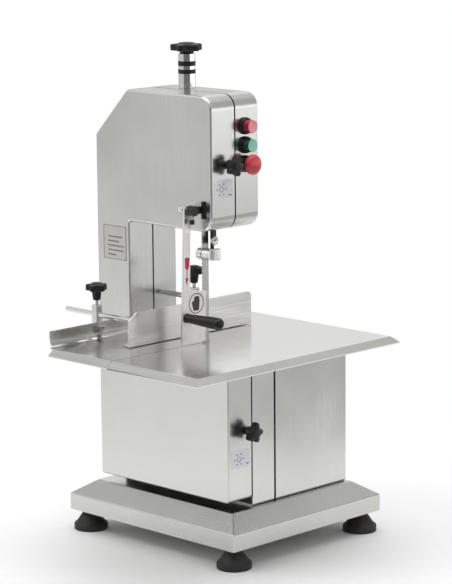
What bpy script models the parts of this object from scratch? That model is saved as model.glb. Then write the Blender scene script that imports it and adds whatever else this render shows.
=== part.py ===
"""Countertop bone saw: a vertical band saw in stainless sheet with a side table and a hanging pusher.

Every length is in metres.  The machine is laid out about the centre of its base, seen by an operator
who stands at -Y: +X is the operator's right, +Y the back, +Z up.  ORIGIN_SHIFT then moves the whole
machine so that the middle of its bounding box's underside is the world origin.
"""
import math

import bmesh
import bpy
from mathutils import Matrix, Vector

# ---------------------------------------------------------------- driving dimensions
GAP = 0.0003
SHEET = 0.0015

BASE_HALF_X = 0.202
BASE_HALF_Y = 0.182
SKIRT_BOTTOM = 0.036
SKIRT_TOP = 0.0645
BASE_TOP = 0.089
BASE_SLOPE_INSET = 0.036
TRAY_SHEET = 0.002

FOOT_X = 0.177
FOOT_Y = 0.156
FOOT_RADIUS = 0.0295

BODY_LEFT = -0.156
BODY_RIGHT = 0.158
HEAD_RIGHT = 0.1235
COLUMN_RIGHT = -0.076
DOOR_FRONT = -0.148
SEAM_Y = -0.093
FRAME_BACK = -0.0375
MOTOR_BOX_FRONT = -0.035
MOTOR_BOX_BACK = 0.143
DOOR_BOTTOM = 0.1026
LOWER_TOP = 0.350
HEAD_BOTTOM = 0.556
HEAD_TOP = 0.780
CHAMFER_X = -0.0765
CHAMFER_Z = 0.699

WHEEL_X = -0.016
WHEEL_RADIUS = 0.100
LOWER_WHEEL_Z = 0.229
UPPER_WHEEL_Z = 0.668
BLADE_FRONT = -0.134
BLADE_BACK = -0.118
BLADE_THICKNESS = 0.0006
BLADE_X = WHEEL_X + WHEEL_RADIUS + GAP + BLADE_THICKNESS / 2

TABLE_LEFT = -0.061
TABLE_RIGHT = 0.280
TABLE_FRONT = -0.339
TABLE_BACK = 0.118
TABLE_TOP = 0.366
TABLE_SHEET = 0.002
APRON_OUT = 0.0115
APRON_DROP = 0.010
FLANGE_HEIGHT = 0.027
FLANGE_RELIEF = 0.006

FENCE_RIGHT = 0.031
FENCE_SHEET = 0.0025
FENCE_FRONT = -0.251
FENCE_BACK = 0.038
FENCE_TOP = 0.424
ROD_RADIUS = 0.0045
FRONT_ROD_Y = -0.2234
FRONT_ROD_Z = 0.406
REAR_ROD_Y = -0.083
REAR_ROD_Z = 0.427
FRONT_CLAMP_X = -0.077
REAR_CLAMP_X = 0.0142

POST_X = -0.015
POST_Y = -0.066
POST_RADIUS = 0.01415
KNOB_TOP = 0.857

HINGE_X = -0.165
HINGE_Y = -0.120
HINGE_LOW_Z = (0.150, 0.620)

PUSHER_X = 0.0885
PUSHER_FRONT = -0.175
PIVOT_Y = -0.1675
PIVOT_Z = 0.593
GRIP_Z = 0.414
PUSHER_LEAN = 0.0085

UPPER_LATCH = (HEAD_RIGHT, -0.112, 0.665)
LOWER_LATCH = (BODY_RIGHT, -0.107, 0.222)
BUTTON_Y = -0.069
STOP_Z = 0.7265
START_Z = 0.695
EMERGENCY_Z = 0.6635

X_LOW = -FOOT_X - FOOT_RADIUS
X_HIGH = TABLE_RIGHT + APRON_OUT
Y_LOW = TABLE_FRONT - APRON_OUT
Y_HIGH = FOOT_Y + FOOT_RADIUS
ORIGIN_SHIFT = Vector((-(X_LOW + X_HIGH) / 2, -(Y_LOW + Y_HIGH) / 2, 0.0))

# ---------------------------------------------------------------- scene and materials
for old in list(bpy.data.objects):
    bpy.data.objects.remove(old, do_unlink=True)

PARTS = bpy.data.collections.new("bone_saw")
CUTTERS = bpy.data.collections.new("cutters")
bpy.context.scene.collection.children.link(PARTS)
bpy.context.scene.collection.children.link(CUTTERS)


def make_material(name, colour, roughness, metallic):
    material = bpy.data.materials.new(name)
    material.use_nodes = True
    shader = material.node_tree.nodes["Principled BSDF"]
    shader.inputs["Base Color"].default_value = (*colour, 1.0)
    shader.inputs["Roughness"].default_value = roughness
    shader.inputs["Metallic"].default_value = metallic
    return material


STAINLESS = make_material("stainless", (0.62, 0.62, 0.60), 0.28, 1.0)
POLISHED = make_material("polished_steel", (0.72, 0.72, 0.71), 0.14, 1.0)
CHROME = make_material("chrome", (0.80, 0.80, 0.81), 0.08, 1.0)
DARK_STEEL = make_material("dark_steel", (0.10, 0.10, 0.10), 0.45, 0.8)
BLADE_STEEL = make_material("blade_steel", (0.50, 0.50, 0.49), 0.30, 1.0)
CAST_ALLOY = make_material("cast_alloy", (0.55, 0.56, 0.57), 0.42, 0.9)
BLACK_PLASTIC = make_material("black_plastic", (0.02, 0.02, 0.02), 0.35, 0.0)
RUBBER = make_material("black_rubber", (0.025, 0.024, 0.023), 0.75, 0.0)
RED_PLASTIC = make_material("red_plastic", (0.62, 0.06, 0.08), 0.35, 0.0)
PINK_PLASTIC = make_material("stop_plastic", (0.80, 0.28, 0.33), 0.35, 0.0)
GREEN_PLASTIC = make_material("start_plastic", (0.30, 0.62, 0.50), 0.35, 0.0)
MOTOR_PAINT = make_material("motor_paint", (0.10, 0.16, 0.22), 0.50, 0.0)

# ---------------------------------------------------------------- placing
# Where each empty stands in the machine's own layout, so that children can be placed about it.
LAYOUT = {}


def make_pivot(name, location, parent=None):
    empty = bpy.data.objects.new(name, None)
    PARTS.objects.link(empty)
    LAYOUT[empty] = Vector(location)
    if parent is None:
        empty.location = ORIGIN_SHIFT
    else:
        empty.parent = parent
        empty.location = LAYOUT[empty] - LAYOUT[parent]
    return empty


ROOT = make_pivot("machine_frame", (0, 0, 0))
DOOR = make_pivot("door_hinge_axis", (HINGE_X, HINGE_Y, DOOR_BOTTOM), ROOT)
PUSHER = make_pivot("pusher_pivot_axis", (PUSHER_X, PIVOT_Y, PIVOT_Z), DOOR)
LOWER_SPIN = make_pivot("lower_wheel_axis", (WHEEL_X, BLADE_BACK, LOWER_WHEEL_Z), ROOT)
SLIDER = make_pivot("tension_slide_axis", (WHEEL_X, POST_Y, UPPER_WHEEL_Z), ROOT)
UPPER_SPIN = make_pivot("upper_wheel_axis", (WHEEL_X, BLADE_BACK, UPPER_WHEEL_Z), SLIDER)
TENSION = make_pivot("tension_knob_axis", (POST_X, POST_Y, HEAD_TOP), ROOT)
GUIDE = make_pivot("guide_slide_axis", (0.089, -0.110, HEAD_BOTTOM), ROOT)
FENCE = make_pivot("fence_slide_axis", (FENCE_RIGHT, REAR_ROD_Y, REAR_ROD_Z), ROOT)


def place(obj, parent, location, collection=PARTS):
    collection.objects.link(obj)
    obj.parent = parent
    obj.location = Vector(location) - LAYOUT[parent]


TURN_Z_TO = {
    "+Z": (0.0, 0.0, 0.0),
    "+X": (0.0, math.pi / 2, 0.0),
    "+Y": (-math.pi / 2, 0.0, 0.0),
}

# ---------------------------------------------------------------- shape helpers


def finish(obj, material, smooth=False):
    obj.data.materials.clear()
    obj.data.materials.append(material)
    if smooth:
        obj.data.shade_smooth()
        obj.data.set_sharp_from_angle(angle=math.radians(40))
    return obj


def mesh_object(name, bm):
    mesh = bpy.data.meshes.new(name)
    bm.to_mesh(mesh)
    bm.free()
    return bpy.data.objects.new(name, mesh)


def add_bevel(obj, width, segments=2, angle=40):
    bevel = obj.modifiers.new("edges", "BEVEL")
    bevel.width = width
    bevel.segments = segments
    bevel.limit_method = "ANGLE"
    bevel.angle_limit = math.radians(angle)
    bevel.harden_normals = False


def box_object(name, low, high, parent, collection=PARTS):
    low = Vector(low)
    high = Vector(high)
    size = high - low
    bm = bmesh.new()
    bmesh.ops.create_cube(bm, size=1.0)
    bmesh.ops.scale(bm, vec=size, verts=bm.verts)
    obj = mesh_object(name, bm)
    place(obj, parent, (low + high) / 2, collection)
    return obj


def box(name, material, low, high, parent=ROOT, bevel=0.0, segments=2):
    obj = box_object(name, low, high, parent)
    if bevel > 0.0:
        add_bevel(obj, bevel, segments)
    return finish(obj, material)


def cylinder_object(name, start, axis, length, radius, parent, collection=PARTS, sides=24):
    bm = bmesh.new()
    bmesh.ops.create_cone(bm, cap_ends=True, segments=sides, radius1=radius, radius2=radius, depth=length)
    bmesh.ops.translate(bm, vec=(0, 0, length / 2), verts=bm.verts)
    obj = mesh_object(name, bm)
    place(obj, parent, start, collection)
    obj.rotation_euler = TURN_Z_TO[axis]
    return obj


def cylinder(name, material, start, axis, length, radius, parent=ROOT, sides=24, bevel=0.0):
    obj = cylinder_object(name, start, axis, length, radius, parent, PARTS, sides)
    if bevel > 0.0:
        add_bevel(obj, bevel)
    return finish(obj, material, smooth=True)


def turned_object(name, profile, start, axis, parent, steps=32, closed=False, collection=PARTS):
    """A profile of (radius, height) points, run down its outer side, turned about the axis."""
    mesh = bpy.data.meshes.new(name)
    points = [(radius, 0.0, height) for radius, height in profile]
    edges = [(i, i + 1) for i in range(len(points) - 1)]
    if closed:
        edges.append((len(points) - 1, 0))
    mesh.from_pydata(points, edges, [])
    obj = bpy.data.objects.new(name, mesh)
    place(obj, parent, start, collection)
    obj.rotation_euler = TURN_Z_TO[axis]
    screw = obj.modifiers.new("turn", "SCREW")
    screw.steps = steps
    screw.render_steps = steps
    screw.use_merge_vertices = True
    screw.merge_threshold = 0.00002
    return obj


def turned(name, material, profile, start, axis, parent=ROOT, steps=32, closed=False):
    obj = turned_object(name, profile, start, axis, parent, steps, closed)
    obj.data.materials.append(material)
    return obj


def as_cutter(obj):
    obj.hide_render = True
    obj.display_type = "WIRE"
    return obj


def combine(target, tool, operation):
    as_cutter(tool)
    boolean = target.modifiers.new(operation.lower(), "BOOLEAN")
    boolean.operation = operation
    boolean.object = tool
    boolean.solver = "EXACT"


def cut_box(target, low, high, parent=ROOT):
    tool = box_object(target.name + "_box_cutter", low, high, parent, CUTTERS)
    combine(target, tool, "DIFFERENCE")


def cut_hole(target, start, axis, length, radius, parent=ROOT, sides=24):
    tool = cylinder_object(target.name + "_hole_cutter", start, axis, length, radius, parent, CUTTERS, sides)
    combine(target, tool, "DIFFERENCE")


def join_box(target, low, high, parent=ROOT):
    tool = box_object(target.name + "_box", low, high, parent, CUTTERS)
    combine(target, tool, "UNION")


def join_cylinder(target, start, axis, length, radius, parent=ROOT, sides=24):
    tool = cylinder_object(target.name + "_round", start, axis, length, radius, parent, CUTTERS, sides)
    combine(target, tool, "UNION")


def rounded(corners, arc_steps=4):
    """The outline through (x, y, radius) corners, each round one replaced by an arc."""
    outline = []
    count = len(corners)
    for i in range(count):
        x, y, radius = corners[i]
        here = Vector((x, y))
        if radius <= 0.0:
            outline.append(here)
            continue
        before = (Vector(corners[i - 1][:2]) - here).normalized()
        after = (Vector(corners[(i + 1) % count][:2]) - here).normalized()
        half_angle = before.angle(after) / 2
        centre = here + (before + after).normalized() * (radius / math.sin(half_angle))
        start = here + before * (radius / math.tan(half_angle)) - centre
        end = here + after * (radius / math.tan(half_angle)) - centre
        turn = start.angle_signed(end)
        for step in range(arc_steps + 1):
            angle = -turn * step / arc_steps
            outline.append(centre + Matrix.Rotation(angle, 2) @ start)
    return outline


def outline_mesh(name, outline, thickness):
    """A flat outline in the local XY plane, thickness along local Z, made a closed mesh."""
    curve = bpy.data.curves.new(name + "_outline", "CURVE")
    curve.dimensions = "2D"
    curve.fill_mode = "BOTH"
    curve.extrude = thickness / 2
    spline = curve.splines.new("POLY")
    spline.points.add(len(outline) - 1)
    for point, place_xy in zip(spline.points, outline):
        point.co = (place_xy[0], place_xy[1], 0.0, 1.0)
    spline.use_cyclic_u = True
    guide = bpy.data.objects.new(name + "_outline", curve)
    CUTTERS.objects.link(guide)
    bpy.context.view_layer.update()
    mesh = bpy.data.meshes.new_from_object(guide.evaluated_get(bpy.context.evaluated_depsgraph_get()))
    bpy.data.objects.remove(guide, do_unlink=True)
    bm = bmesh.new()
    bm.from_mesh(mesh)
    bmesh.ops.remove_doubles(bm, verts=bm.verts, dist=0.00001)
    bmesh.ops.recalc_face_normals(bm, faces=bm.faces)
    bm.to_mesh(mesh)
    bm.free()
    return mesh


# A flat outline's local X and Y become these world directions when it stands upright.
UPRIGHT_XZ = (math.pi / 2, 0.0, 0.0)
UPRIGHT_YZ = (math.pi / 2, 0.0, math.pi / 2)


def plate_object(name, corners, thickness, middle, turn, parent, collection=PARTS, arc_steps=4):
    """An extruded outline, its corners given in the layout and centred on middle."""
    across = middle[0] if turn == UPRIGHT_XZ else middle[1]
    local = [(a - across, z - middle[2], r) for a, z, r in corners]
    obj = bpy.data.objects.new(name, outline_mesh(name, rounded(local, arc_steps), thickness))
    place(obj, parent, middle, collection)
    obj.rotation_euler = turn
    return obj


def pan(name, material, corners, front, back, open_side, edge_radius, parent, sheet=SHEET, arc_steps=3):
    """A sheet-metal pan: the outline's wall and one closed face, with a round edge between them."""
    middle = Vector((0.0, (front + back) / 2, 0.0))
    obj = plate_object(name, corners, back - front, middle, UPRIGHT_XZ, parent, arc_steps=arc_steps)
    bm = bmesh.new()
    bm.from_mesh(obj.data)
    # The outline's local +Z points to -Y once the pan stands upright.
    wanted = -1.0 if open_side == "back" else 1.0
    gone = [face for face in bm.faces if face.normal.z * wanted > 0.9]
    bmesh.ops.delete(bm, geom=gone, context="FACES")
    bm.to_mesh(obj.data)
    bm.free()
    if edge_radius > 0.0:
        add_bevel(obj, edge_radius, 2, 60)
    solid = obj.modifiers.new("sheet", "SOLIDIFY")
    solid.thickness = sheet
    solid.offset = -1.0
    solid.use_even_offset = True
    return finish(obj, material)


# ---------------------------------------------------------------- base and feet


def build_base():
    bm = bmesh.new()
    bmesh.ops.create_cube(bm, size=1.0)
    size = Vector((2 * BASE_HALF_X, 2 * BASE_HALF_Y, SKIRT_TOP - SKIRT_BOTTOM))
    bmesh.ops.scale(bm, vec=size, verts=bm.verts)
    top = [face for face in bm.faces if face.normal.z > 0.5]
    bottom = [face for face in bm.faces if face.normal.z < -0.5]
    bmesh.ops.inset_region(
        bm, faces=top, thickness=BASE_SLOPE_INSET, depth=BASE_TOP - SKIRT_TOP, use_even_offset=True)
    bmesh.ops.delete(bm, geom=bottom, context="FACES")
    tray = mesh_object("base_tray", bm)
    place(tray, ROOT, (0, 0, (SKIRT_TOP + SKIRT_BOTTOM) / 2))
    add_bevel(tray, 0.0025, 2, 20)
    solid = tray.modifiers.new("sheet", "SOLIDIFY")
    solid.thickness = TRAY_SHEET
    solid.offset = -1.0
    solid.use_even_offset = True
    finish(tray, STAINLESS)
    inner_x = BASE_HALF_X - TRAY_SHEET - 2 * GAP
    inner_y = BASE_HALF_Y - TRAY_SHEET - 2 * GAP
    foot_top = 0.0377
    ring = box("base_floor_ring", STAINLESS, (-inner_x, -inner_y, foot_top + GAP),
               (inner_x, inner_y, foot_top + GAP + 0.003))
    cut_box(ring, (-0.150, -0.130, 0.030), (0.150, 0.130, 0.050))
    foot_profile = [
        (0.0, foot_top), (0.0145, foot_top), (0.0150, 0.027), (0.0235, 0.0135),
        (FOOT_RADIUS, 0.0105), (FOOT_RADIUS, 0.0), (0.0, 0.0)]
    for depth_name, y in (("front", -FOOT_Y), ("rear", FOOT_Y)):
        for side_name, x in (("left", -FOOT_X), ("right", FOOT_X)):
            name = "foot_" + depth_name + "_" + side_name
            turned(name, RUBBER, foot_profile, (x, y, 0.0), "+Z", steps=20)


# ---------------------------------------------------------------- casing


def casing_corners(bottom, corner_radius):
    return [
        (BODY_LEFT, bottom, 0.004),
        (BODY_RIGHT, bottom, corner_radius),
        (BODY_RIGHT, LOWER_TOP, 0.010),
        (COLUMN_RIGHT, LOWER_TOP, 0.003),
        (COLUMN_RIGHT, HEAD_BOTTOM, 0.003),
        (HEAD_RIGHT, HEAD_BOTTOM, 0.025),
        (HEAD_RIGHT, HEAD_TOP, 0.024),
        (CHAMFER_X, HEAD_TOP, 0.008),
        (BODY_LEFT, CHAMFER_Z, 0.008),
    ]


def build_frame():
    frame = pan("frame_shell", STAINLESS, casing_corners(BASE_TOP + GAP, 0.004), SEAM_Y, FRAME_BACK,
                "front", 0.002, ROOT, sheet=0.002)
    # A lip closes the strip below the door.
    join_box(frame, (BODY_LEFT + 0.003, SEAM_Y + 0.0005, BASE_TOP + GAP + 0.0008),
             (BODY_RIGHT - 0.003, SEAM_Y + 0.0025, DOOR_BOTTOM - 0.0002))
    for wall_x, y, z in (UPPER_LATCH, LOWER_LATCH):
        inner = wall_x - 0.0059
        outer = wall_x - 0.0029
        join_box(frame, (inner, y - 0.014, z - 0.013), (outer, SEAM_Y + 0.011, z + 0.013))
        join_box(frame, (inner + 0.001, SEAM_Y + 0.003, z - 0.012), (wall_x - 0.0012, SEAM_Y + 0.010, z + 0.012))
        cut_box(frame, (inner - 0.001, y - 0.016, z - 0.0052), (outer + 0.0005, y + 0.0052, z + 0.0052))
    cut_hole(frame, (WHEEL_X, -0.045, LOWER_WHEEL_Z), "+Y", 0.012, 0.0312, sides=32)
    cut_hole(frame, (POST_X, POST_Y, HEAD_TOP - 0.006), "+Z", 0.010, 0.0075)
    for z in (STOP_Z, START_Z, EMERGENCY_Z):
        cut_hole(frame, (HEAD_RIGHT - 0.004, BUTTON_Y, z), "+X", 0.008, 0.0113)


def build_motor_box():
    corners = [
        (BODY_LEFT, BASE_TOP + GAP, 0.004),
        (BODY_RIGHT, BASE_TOP + GAP, 0.004),
        (BODY_RIGHT, LOWER_TOP, 0.006),
        (BODY_LEFT, LOWER_TOP, 0.006),
    ]
    casing = pan("motor_box", STAINLESS, corners, MOTOR_BOX_FRONT, MOTOR_BOX_BACK, "front", 0.004, ROOT,
                 arc_steps=3)
    # Air passes through this opening and the slotted cover behind it.
    cut_box(casing, (-0.085, MOTOR_BOX_BACK - 0.006, 0.160), (0.055, MOTOR_BOX_BACK + 0.004, 0.290))
    cut_hole(casing, (0.115, MOTOR_BOX_BACK - 0.006, 0.125), "+Y", 0.010, 0.0085)
    cover = box("motor_vent_cover", STAINLESS, (-0.097, MOTOR_BOX_BACK + GAP, 0.148),
                (0.067, MOTOR_BOX_BACK + GAP + 0.0015, 0.302))
    for row in range(6):
        z = 0.175 + 0.020 * row
        cut_box(cover, (-0.075, MOTOR_BOX_BACK - 0.002, z), (0.045, MOTOR_BOX_BACK + 0.004, z + 0.005))
    gland_profile = [
        (0.0045, 0.022), (0.0085, 0.022), (0.0100, 0.014), (0.0125, 0.013), (0.0125, 0.0),
        (0.0082, 0.0), (0.0082, -0.006), (0.0045, -0.006)]
    turned("cable_gland", BLACK_PLASTIC, gland_profile, (0.115, MOTOR_BOX_BACK + GAP, 0.125), "+Y",
           steps=16, closed=True)


# ---------------------------------------------------------------- drive


def wheel_profile(bore):
    """Heights run along the axle from the wheel's front face, which is at -Y, to its back."""
    rim = WHEEL_RADIUS
    return [
        (bore, 0.030), (0.024, 0.030), (0.026, 0.0125), (0.088, 0.0125), (0.090, 0.0185),
        (rim + 0.0025, 0.0185), (rim + 0.0025, 0.0165), (rim, 0.0160), (rim, 0.0),
        (0.090, 0.0), (0.088, 0.0065), (0.026, 0.0065), (0.024, 0.0), (bore, 0.0)]


def build_drive():
    motor = cylinder("motor", MOTOR_PAINT, (WHEEL_X, -0.0292, LOWER_WHEEL_Z), "+Y", 0.132, 0.068,
                     sides=32, bevel=0.004)
    join_box(motor, (WHEEL_X - 0.035, 0.0, LOWER_WHEEL_Z + 0.055), (WHEEL_X + 0.035, 0.070, 0.318))
    housing_profile = [
        (0.0104, 0.0078), (0.055, 0.0078), (0.055, 0.0), (0.0307, 0.0), (0.0307, -0.040),
        (0.0260, -0.060), (0.0104, -0.060)]
    turned("bearing_housing", CAST_ALLOY, housing_profile, (WHEEL_X, FRAME_BACK + GAP, LOWER_WHEEL_Z), "+Y",
           steps=24, closed=True)
    shaft_start = -0.1385
    cylinder("drive_shaft", CHROME, (WHEEL_X, shaft_start, LOWER_WHEEL_Z), "+Y", -0.0296 - shaft_start,
             0.0100, LOWER_SPIN)
    turned("lower_wheel", CAST_ALLOY, wheel_profile(0.0104), (WHEEL_X, BLADE_FRONT, LOWER_WHEEL_Z), "+Y",
           LOWER_SPIN, steps=36, closed=True)
    nut = cylinder("lower_wheel_nut", CHROME, (WHEEL_X, BLADE_FRONT - GAP - 0.0085, LOWER_WHEEL_Z), "+Y",
                   0.0085, 0.0165, LOWER_SPIN, sides=6)
    cut_hole(nut, (WHEEL_X, BLADE_FRONT - 0.0047, LOWER_WHEEL_Z), "+Y", 0.010, 0.0104, LOWER_SPIN)


def build_upper_wheel():
    inner = 0.0303
    for side_name, side in (("left", -1), ("right", 1)):
        rail = box("slide_rail_" + side_name, STAINLESS,
                   (WHEEL_X + min(side * inner, side * 0.044), -0.0890, 0.600),
                   (WHEEL_X + max(side * inner, side * 0.044), FRAME_BACK - 0.002 - GAP, 0.758))
        join_box(rail, (WHEEL_X + min(side * 0.022, side * 0.044), -0.0925, 0.600),
                 (WHEEL_X + max(side * 0.022, side * 0.044), -0.0883, 0.758))
    block = box("wheel_slide_block", CAST_ALLOY, (WHEEL_X - 0.030, -0.088, 0.640),
                (WHEEL_X + 0.030, FRAME_BACK - 0.0026, 0.698), SLIDER, bevel=0.001, segments=1)
    cut_hole(block, (POST_X, POST_Y, 0.650), "+Z", 0.060, 0.0064, SLIDER)
    axle_profile = [
        (0.0, 0.0), (0.0125, 0.0), (0.0125, -0.0170), (0.0080, -0.0170), (0.0080, -0.0500),
        (0.0115, -0.0505), (0.0115, -0.0560), (0.0, -0.0560)]
    turned("upper_axle", CHROME, axle_profile, (WHEEL_X, -0.0883, UPPER_WHEEL_Z), "+Y", SLIDER, steps=16)
    turned("upper_wheel", CAST_ALLOY, wheel_profile(0.0160), (WHEEL_X, BLADE_FRONT, UPPER_WHEEL_Z), "+Y",
           UPPER_SPIN, steps=36, closed=True)
    turned("upper_wheel_bearing", CHROME, [(0.0084, 0.0275), (0.0157, 0.0275), (0.0157, 0.0005),
                                           (0.0084, 0.0005)],
           (WHEEL_X, BLADE_FRONT, UPPER_WHEEL_Z), "+Y", UPPER_SPIN, steps=24, closed=True)


def build_blade():
    """A flat band run round both wheels; its teeth face the operator."""
    outline = []
    arc_steps = 18
    radius = WHEEL_RADIUS + GAP
    for centre_z, first_angle in ((UPPER_WHEEL_Z, 0.0), (LOWER_WHEEL_Z, math.pi)):
        for step in range(arc_steps + 1):
            angle = first_angle + math.pi * step / arc_steps
            outline.append((WHEEL_X + radius * math.cos(angle), centre_z + radius * math.sin(angle)))
    bm = bmesh.new()
    front = [bm.verts.new((x, BLADE_FRONT, z)) for x, z in outline]
    loop = [bm.edges.new((front[i - 1], front[i])) for i in range(len(front))]
    swept = bmesh.ops.extrude_edge_only(bm, edges=loop)["geom"]
    moved = [item for item in swept if isinstance(item, bmesh.types.BMVert)]
    bmesh.ops.translate(bm, vec=(0, BLADE_BACK - BLADE_FRONT, 0), verts=moved)
    bmesh.ops.recalc_face_normals(bm, faces=bm.faces)
    blade = mesh_object("saw_blade", bm)
    place(blade, ROOT, (0, 0, 0))
    solid = blade.modifiers.new("band", "SOLIDIFY")
    solid.thickness = BLADE_THICKNESS
    solid.offset = 1.0
    solid.use_even_offset = True
    finish(blade, BLADE_STEEL)


# ---------------------------------------------------------------- star knobs


def star_outline(radius, lobes=5, steps_per_lobe=8):
    outline = []
    for step in range(lobes * steps_per_lobe):
        angle = 2 * math.pi * step / (lobes * steps_per_lobe)
        reach = radius * (0.84 + 0.16 * math.cos(lobes * angle))
        outline.append((reach * math.cos(angle), reach * math.sin(angle)))
    return outline


def star_knob(name, start, axis, parent, radius, stud_length, hub_length, star_height, stud_radius=0.004,
              hub_radius=0.0085, dome=0.003, extra_stud=None):
    """A lobed head on a tapered hub, with a steel stud.  Heights run from the hub's foot."""
    star = bpy.data.objects.new(name, outline_mesh(name, star_outline(radius), star_height))
    for vertex in star.data.vertices:
        vertex.co.z += hub_length + star_height / 2
    place(star, parent, start)
    star.rotation_euler = TURN_Z_TO[axis]
    add_bevel(star, 0.0015, 1, 75)
    top = hub_length + star_height
    core = [(0.0, top + dome), (hub_radius * 0.8, top + dome * 0.7), (hub_radius * 1.15, top - 0.001),
            (hub_radius, hub_length * 0.9), (hub_radius * 0.74, 0.0), (stud_radius, 0.0)]
    if extra_stud is None:
        core += [(stud_radius, -stud_length), (0.0, -stud_length)]
    else:
        core += [(stud_radius, -stud_length), (extra_stud[0], -stud_length),
                 (extra_stud[0], -stud_length - extra_stud[1]), (0.0, -stud_length - extra_stud[1])]
    hub = turned_object(name + "_hub", core, start, axis, parent, steps=16, collection=CUTTERS)
    combine(star, hub, "UNION")
    return finish(star, BLACK_PLASTIC)


def build_tension_post():
    tube_profile = [
        (0.0110, 0.058), (POST_RADIUS, 0.058), (POST_RADIUS, 0.006), (0.0190, 0.0055), (0.0190, 0.0),
        (0.0110, 0.0)]
    turned("tension_tube", CHROME, tube_profile, (POST_X, POST_Y, HEAD_TOP + GAP), "+Z",
           steps=24, closed=True)
    spring_profile = [(0.0068, 0.0)]
    coils = 5
    for coil in range(coils):
        low = 0.004 * coil
        spring_profile.insert(0, (0.0104, low + 0.0005))
        spring_profile.insert(0, (0.0104, low + 0.0015))
        spring_profile.insert(0, (0.0088, low + 0.0040))
    spring_profile.insert(0, (0.0068, 0.004 * coils))
    turned("tension_spring", CHROME, spring_profile, (POST_X, POST_Y, HEAD_TOP + 0.030), "+Z", steps=12,
           closed=True)
    screw_bottom = UPPER_WHEEL_Z - 0.013
    cylinder("tension_screw", CHROME, (POST_X, POST_Y, screw_bottom), "+Z", 0.8383 - screw_bottom, 0.0060,
             TENSION, sides=20)
    star_knob("tension_knob", (POST_X, POST_Y, 0.8386), "+Z", TENSION, 0.0280, 0.0, 0.0040, 0.0115,
              stud_radius=0.0060, hub_radius=0.0125, dome=KNOB_TOP - 0.8386 - 0.0155)


# ---------------------------------------------------------------- blade guides


def build_guides():
    post_left = 0.0854
    post_right = 0.0950
    post_front = -0.1145
    post_back = -0.1050
    box("guide_post", DARK_STEEL, (post_left, post_front, 0.5045), (post_right, post_back, 0.690), GUIDE,
        bevel=0.0008, segments=1)
    holder = box("guide_holder", CAST_ALLOY, (0.0760, post_back + GAP, 0.562), (0.1040, -0.050, 0.592))
    for low_x, high_x in ((0.0760, post_left - GAP), (post_right + GAP, 0.1040)):
        join_box(holder, (low_x, -0.1125, 0.562), (high_x, post_back + 0.002, 0.592))
    join_box(holder, (0.0770, -0.070, HEAD_BOTTOM + 0.0023), (0.0960, -0.050, 0.563))
    yoke = box("upper_guide_block", DARK_STEEL, (0.0680, -0.1172, 0.5060), (0.1063, post_front - GAP, 0.5240),
               GUIDE)
    join_box(yoke, (0.0963, -0.1260, 0.5050), (0.1063, -0.1090, 0.5245), GUIDE)
    cut_box(yoke, (0.0830, -0.1185, 0.5000), (0.0865, -0.1165, 0.5300), GUIDE)
    left_pin = [
        (0.0, 0.0172), (0.0088, 0.0172), (0.0088, 0.0120), (0.0076, 0.0115), (0.0076, 0.0105),
        (0.0088, 0.0100), (0.0088, 0.0012), (0.0076, 0.0), (0.0, 0.0)]
    turned("guide_pin_left", POLISHED, left_pin, (0.0668, -0.1262, 0.5150), "+X", GUIDE, steps=16)
    cylinder("guide_pin_right", POLISHED, (BLADE_X + 0.0006, -0.1262, 0.5150), "+X",
             0.0960 - BLADE_X - 0.0006, 0.0086, GUIDE, sides=16)
    screw_profile = [
        (0.0, 0.0015), (0.0048, 0.0015), (0.0048, 0.0035), (0.0084, 0.0035), (0.0084, 0.0), (0.0, 0.0)]
    turned("guide_screw", POLISHED, screw_profile, (post_right + GAP, -0.1100, 0.5375), "+X", GUIDE,
           steps=16)
    lower = box("lower_guide", DARK_STEEL, (0.0740, -0.1300, LOWER_TOP + 0.0015),
                (0.0950, -0.1000, TABLE_TOP - TABLE_SHEET - GAP))
    cut_box(lower, (BLADE_X - 0.0010, -0.1400, 0.3400), (BLADE_X + 0.0010, BLADE_BACK + 0.0005, 0.3800))


# ---------------------------------------------------------------- table


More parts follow.
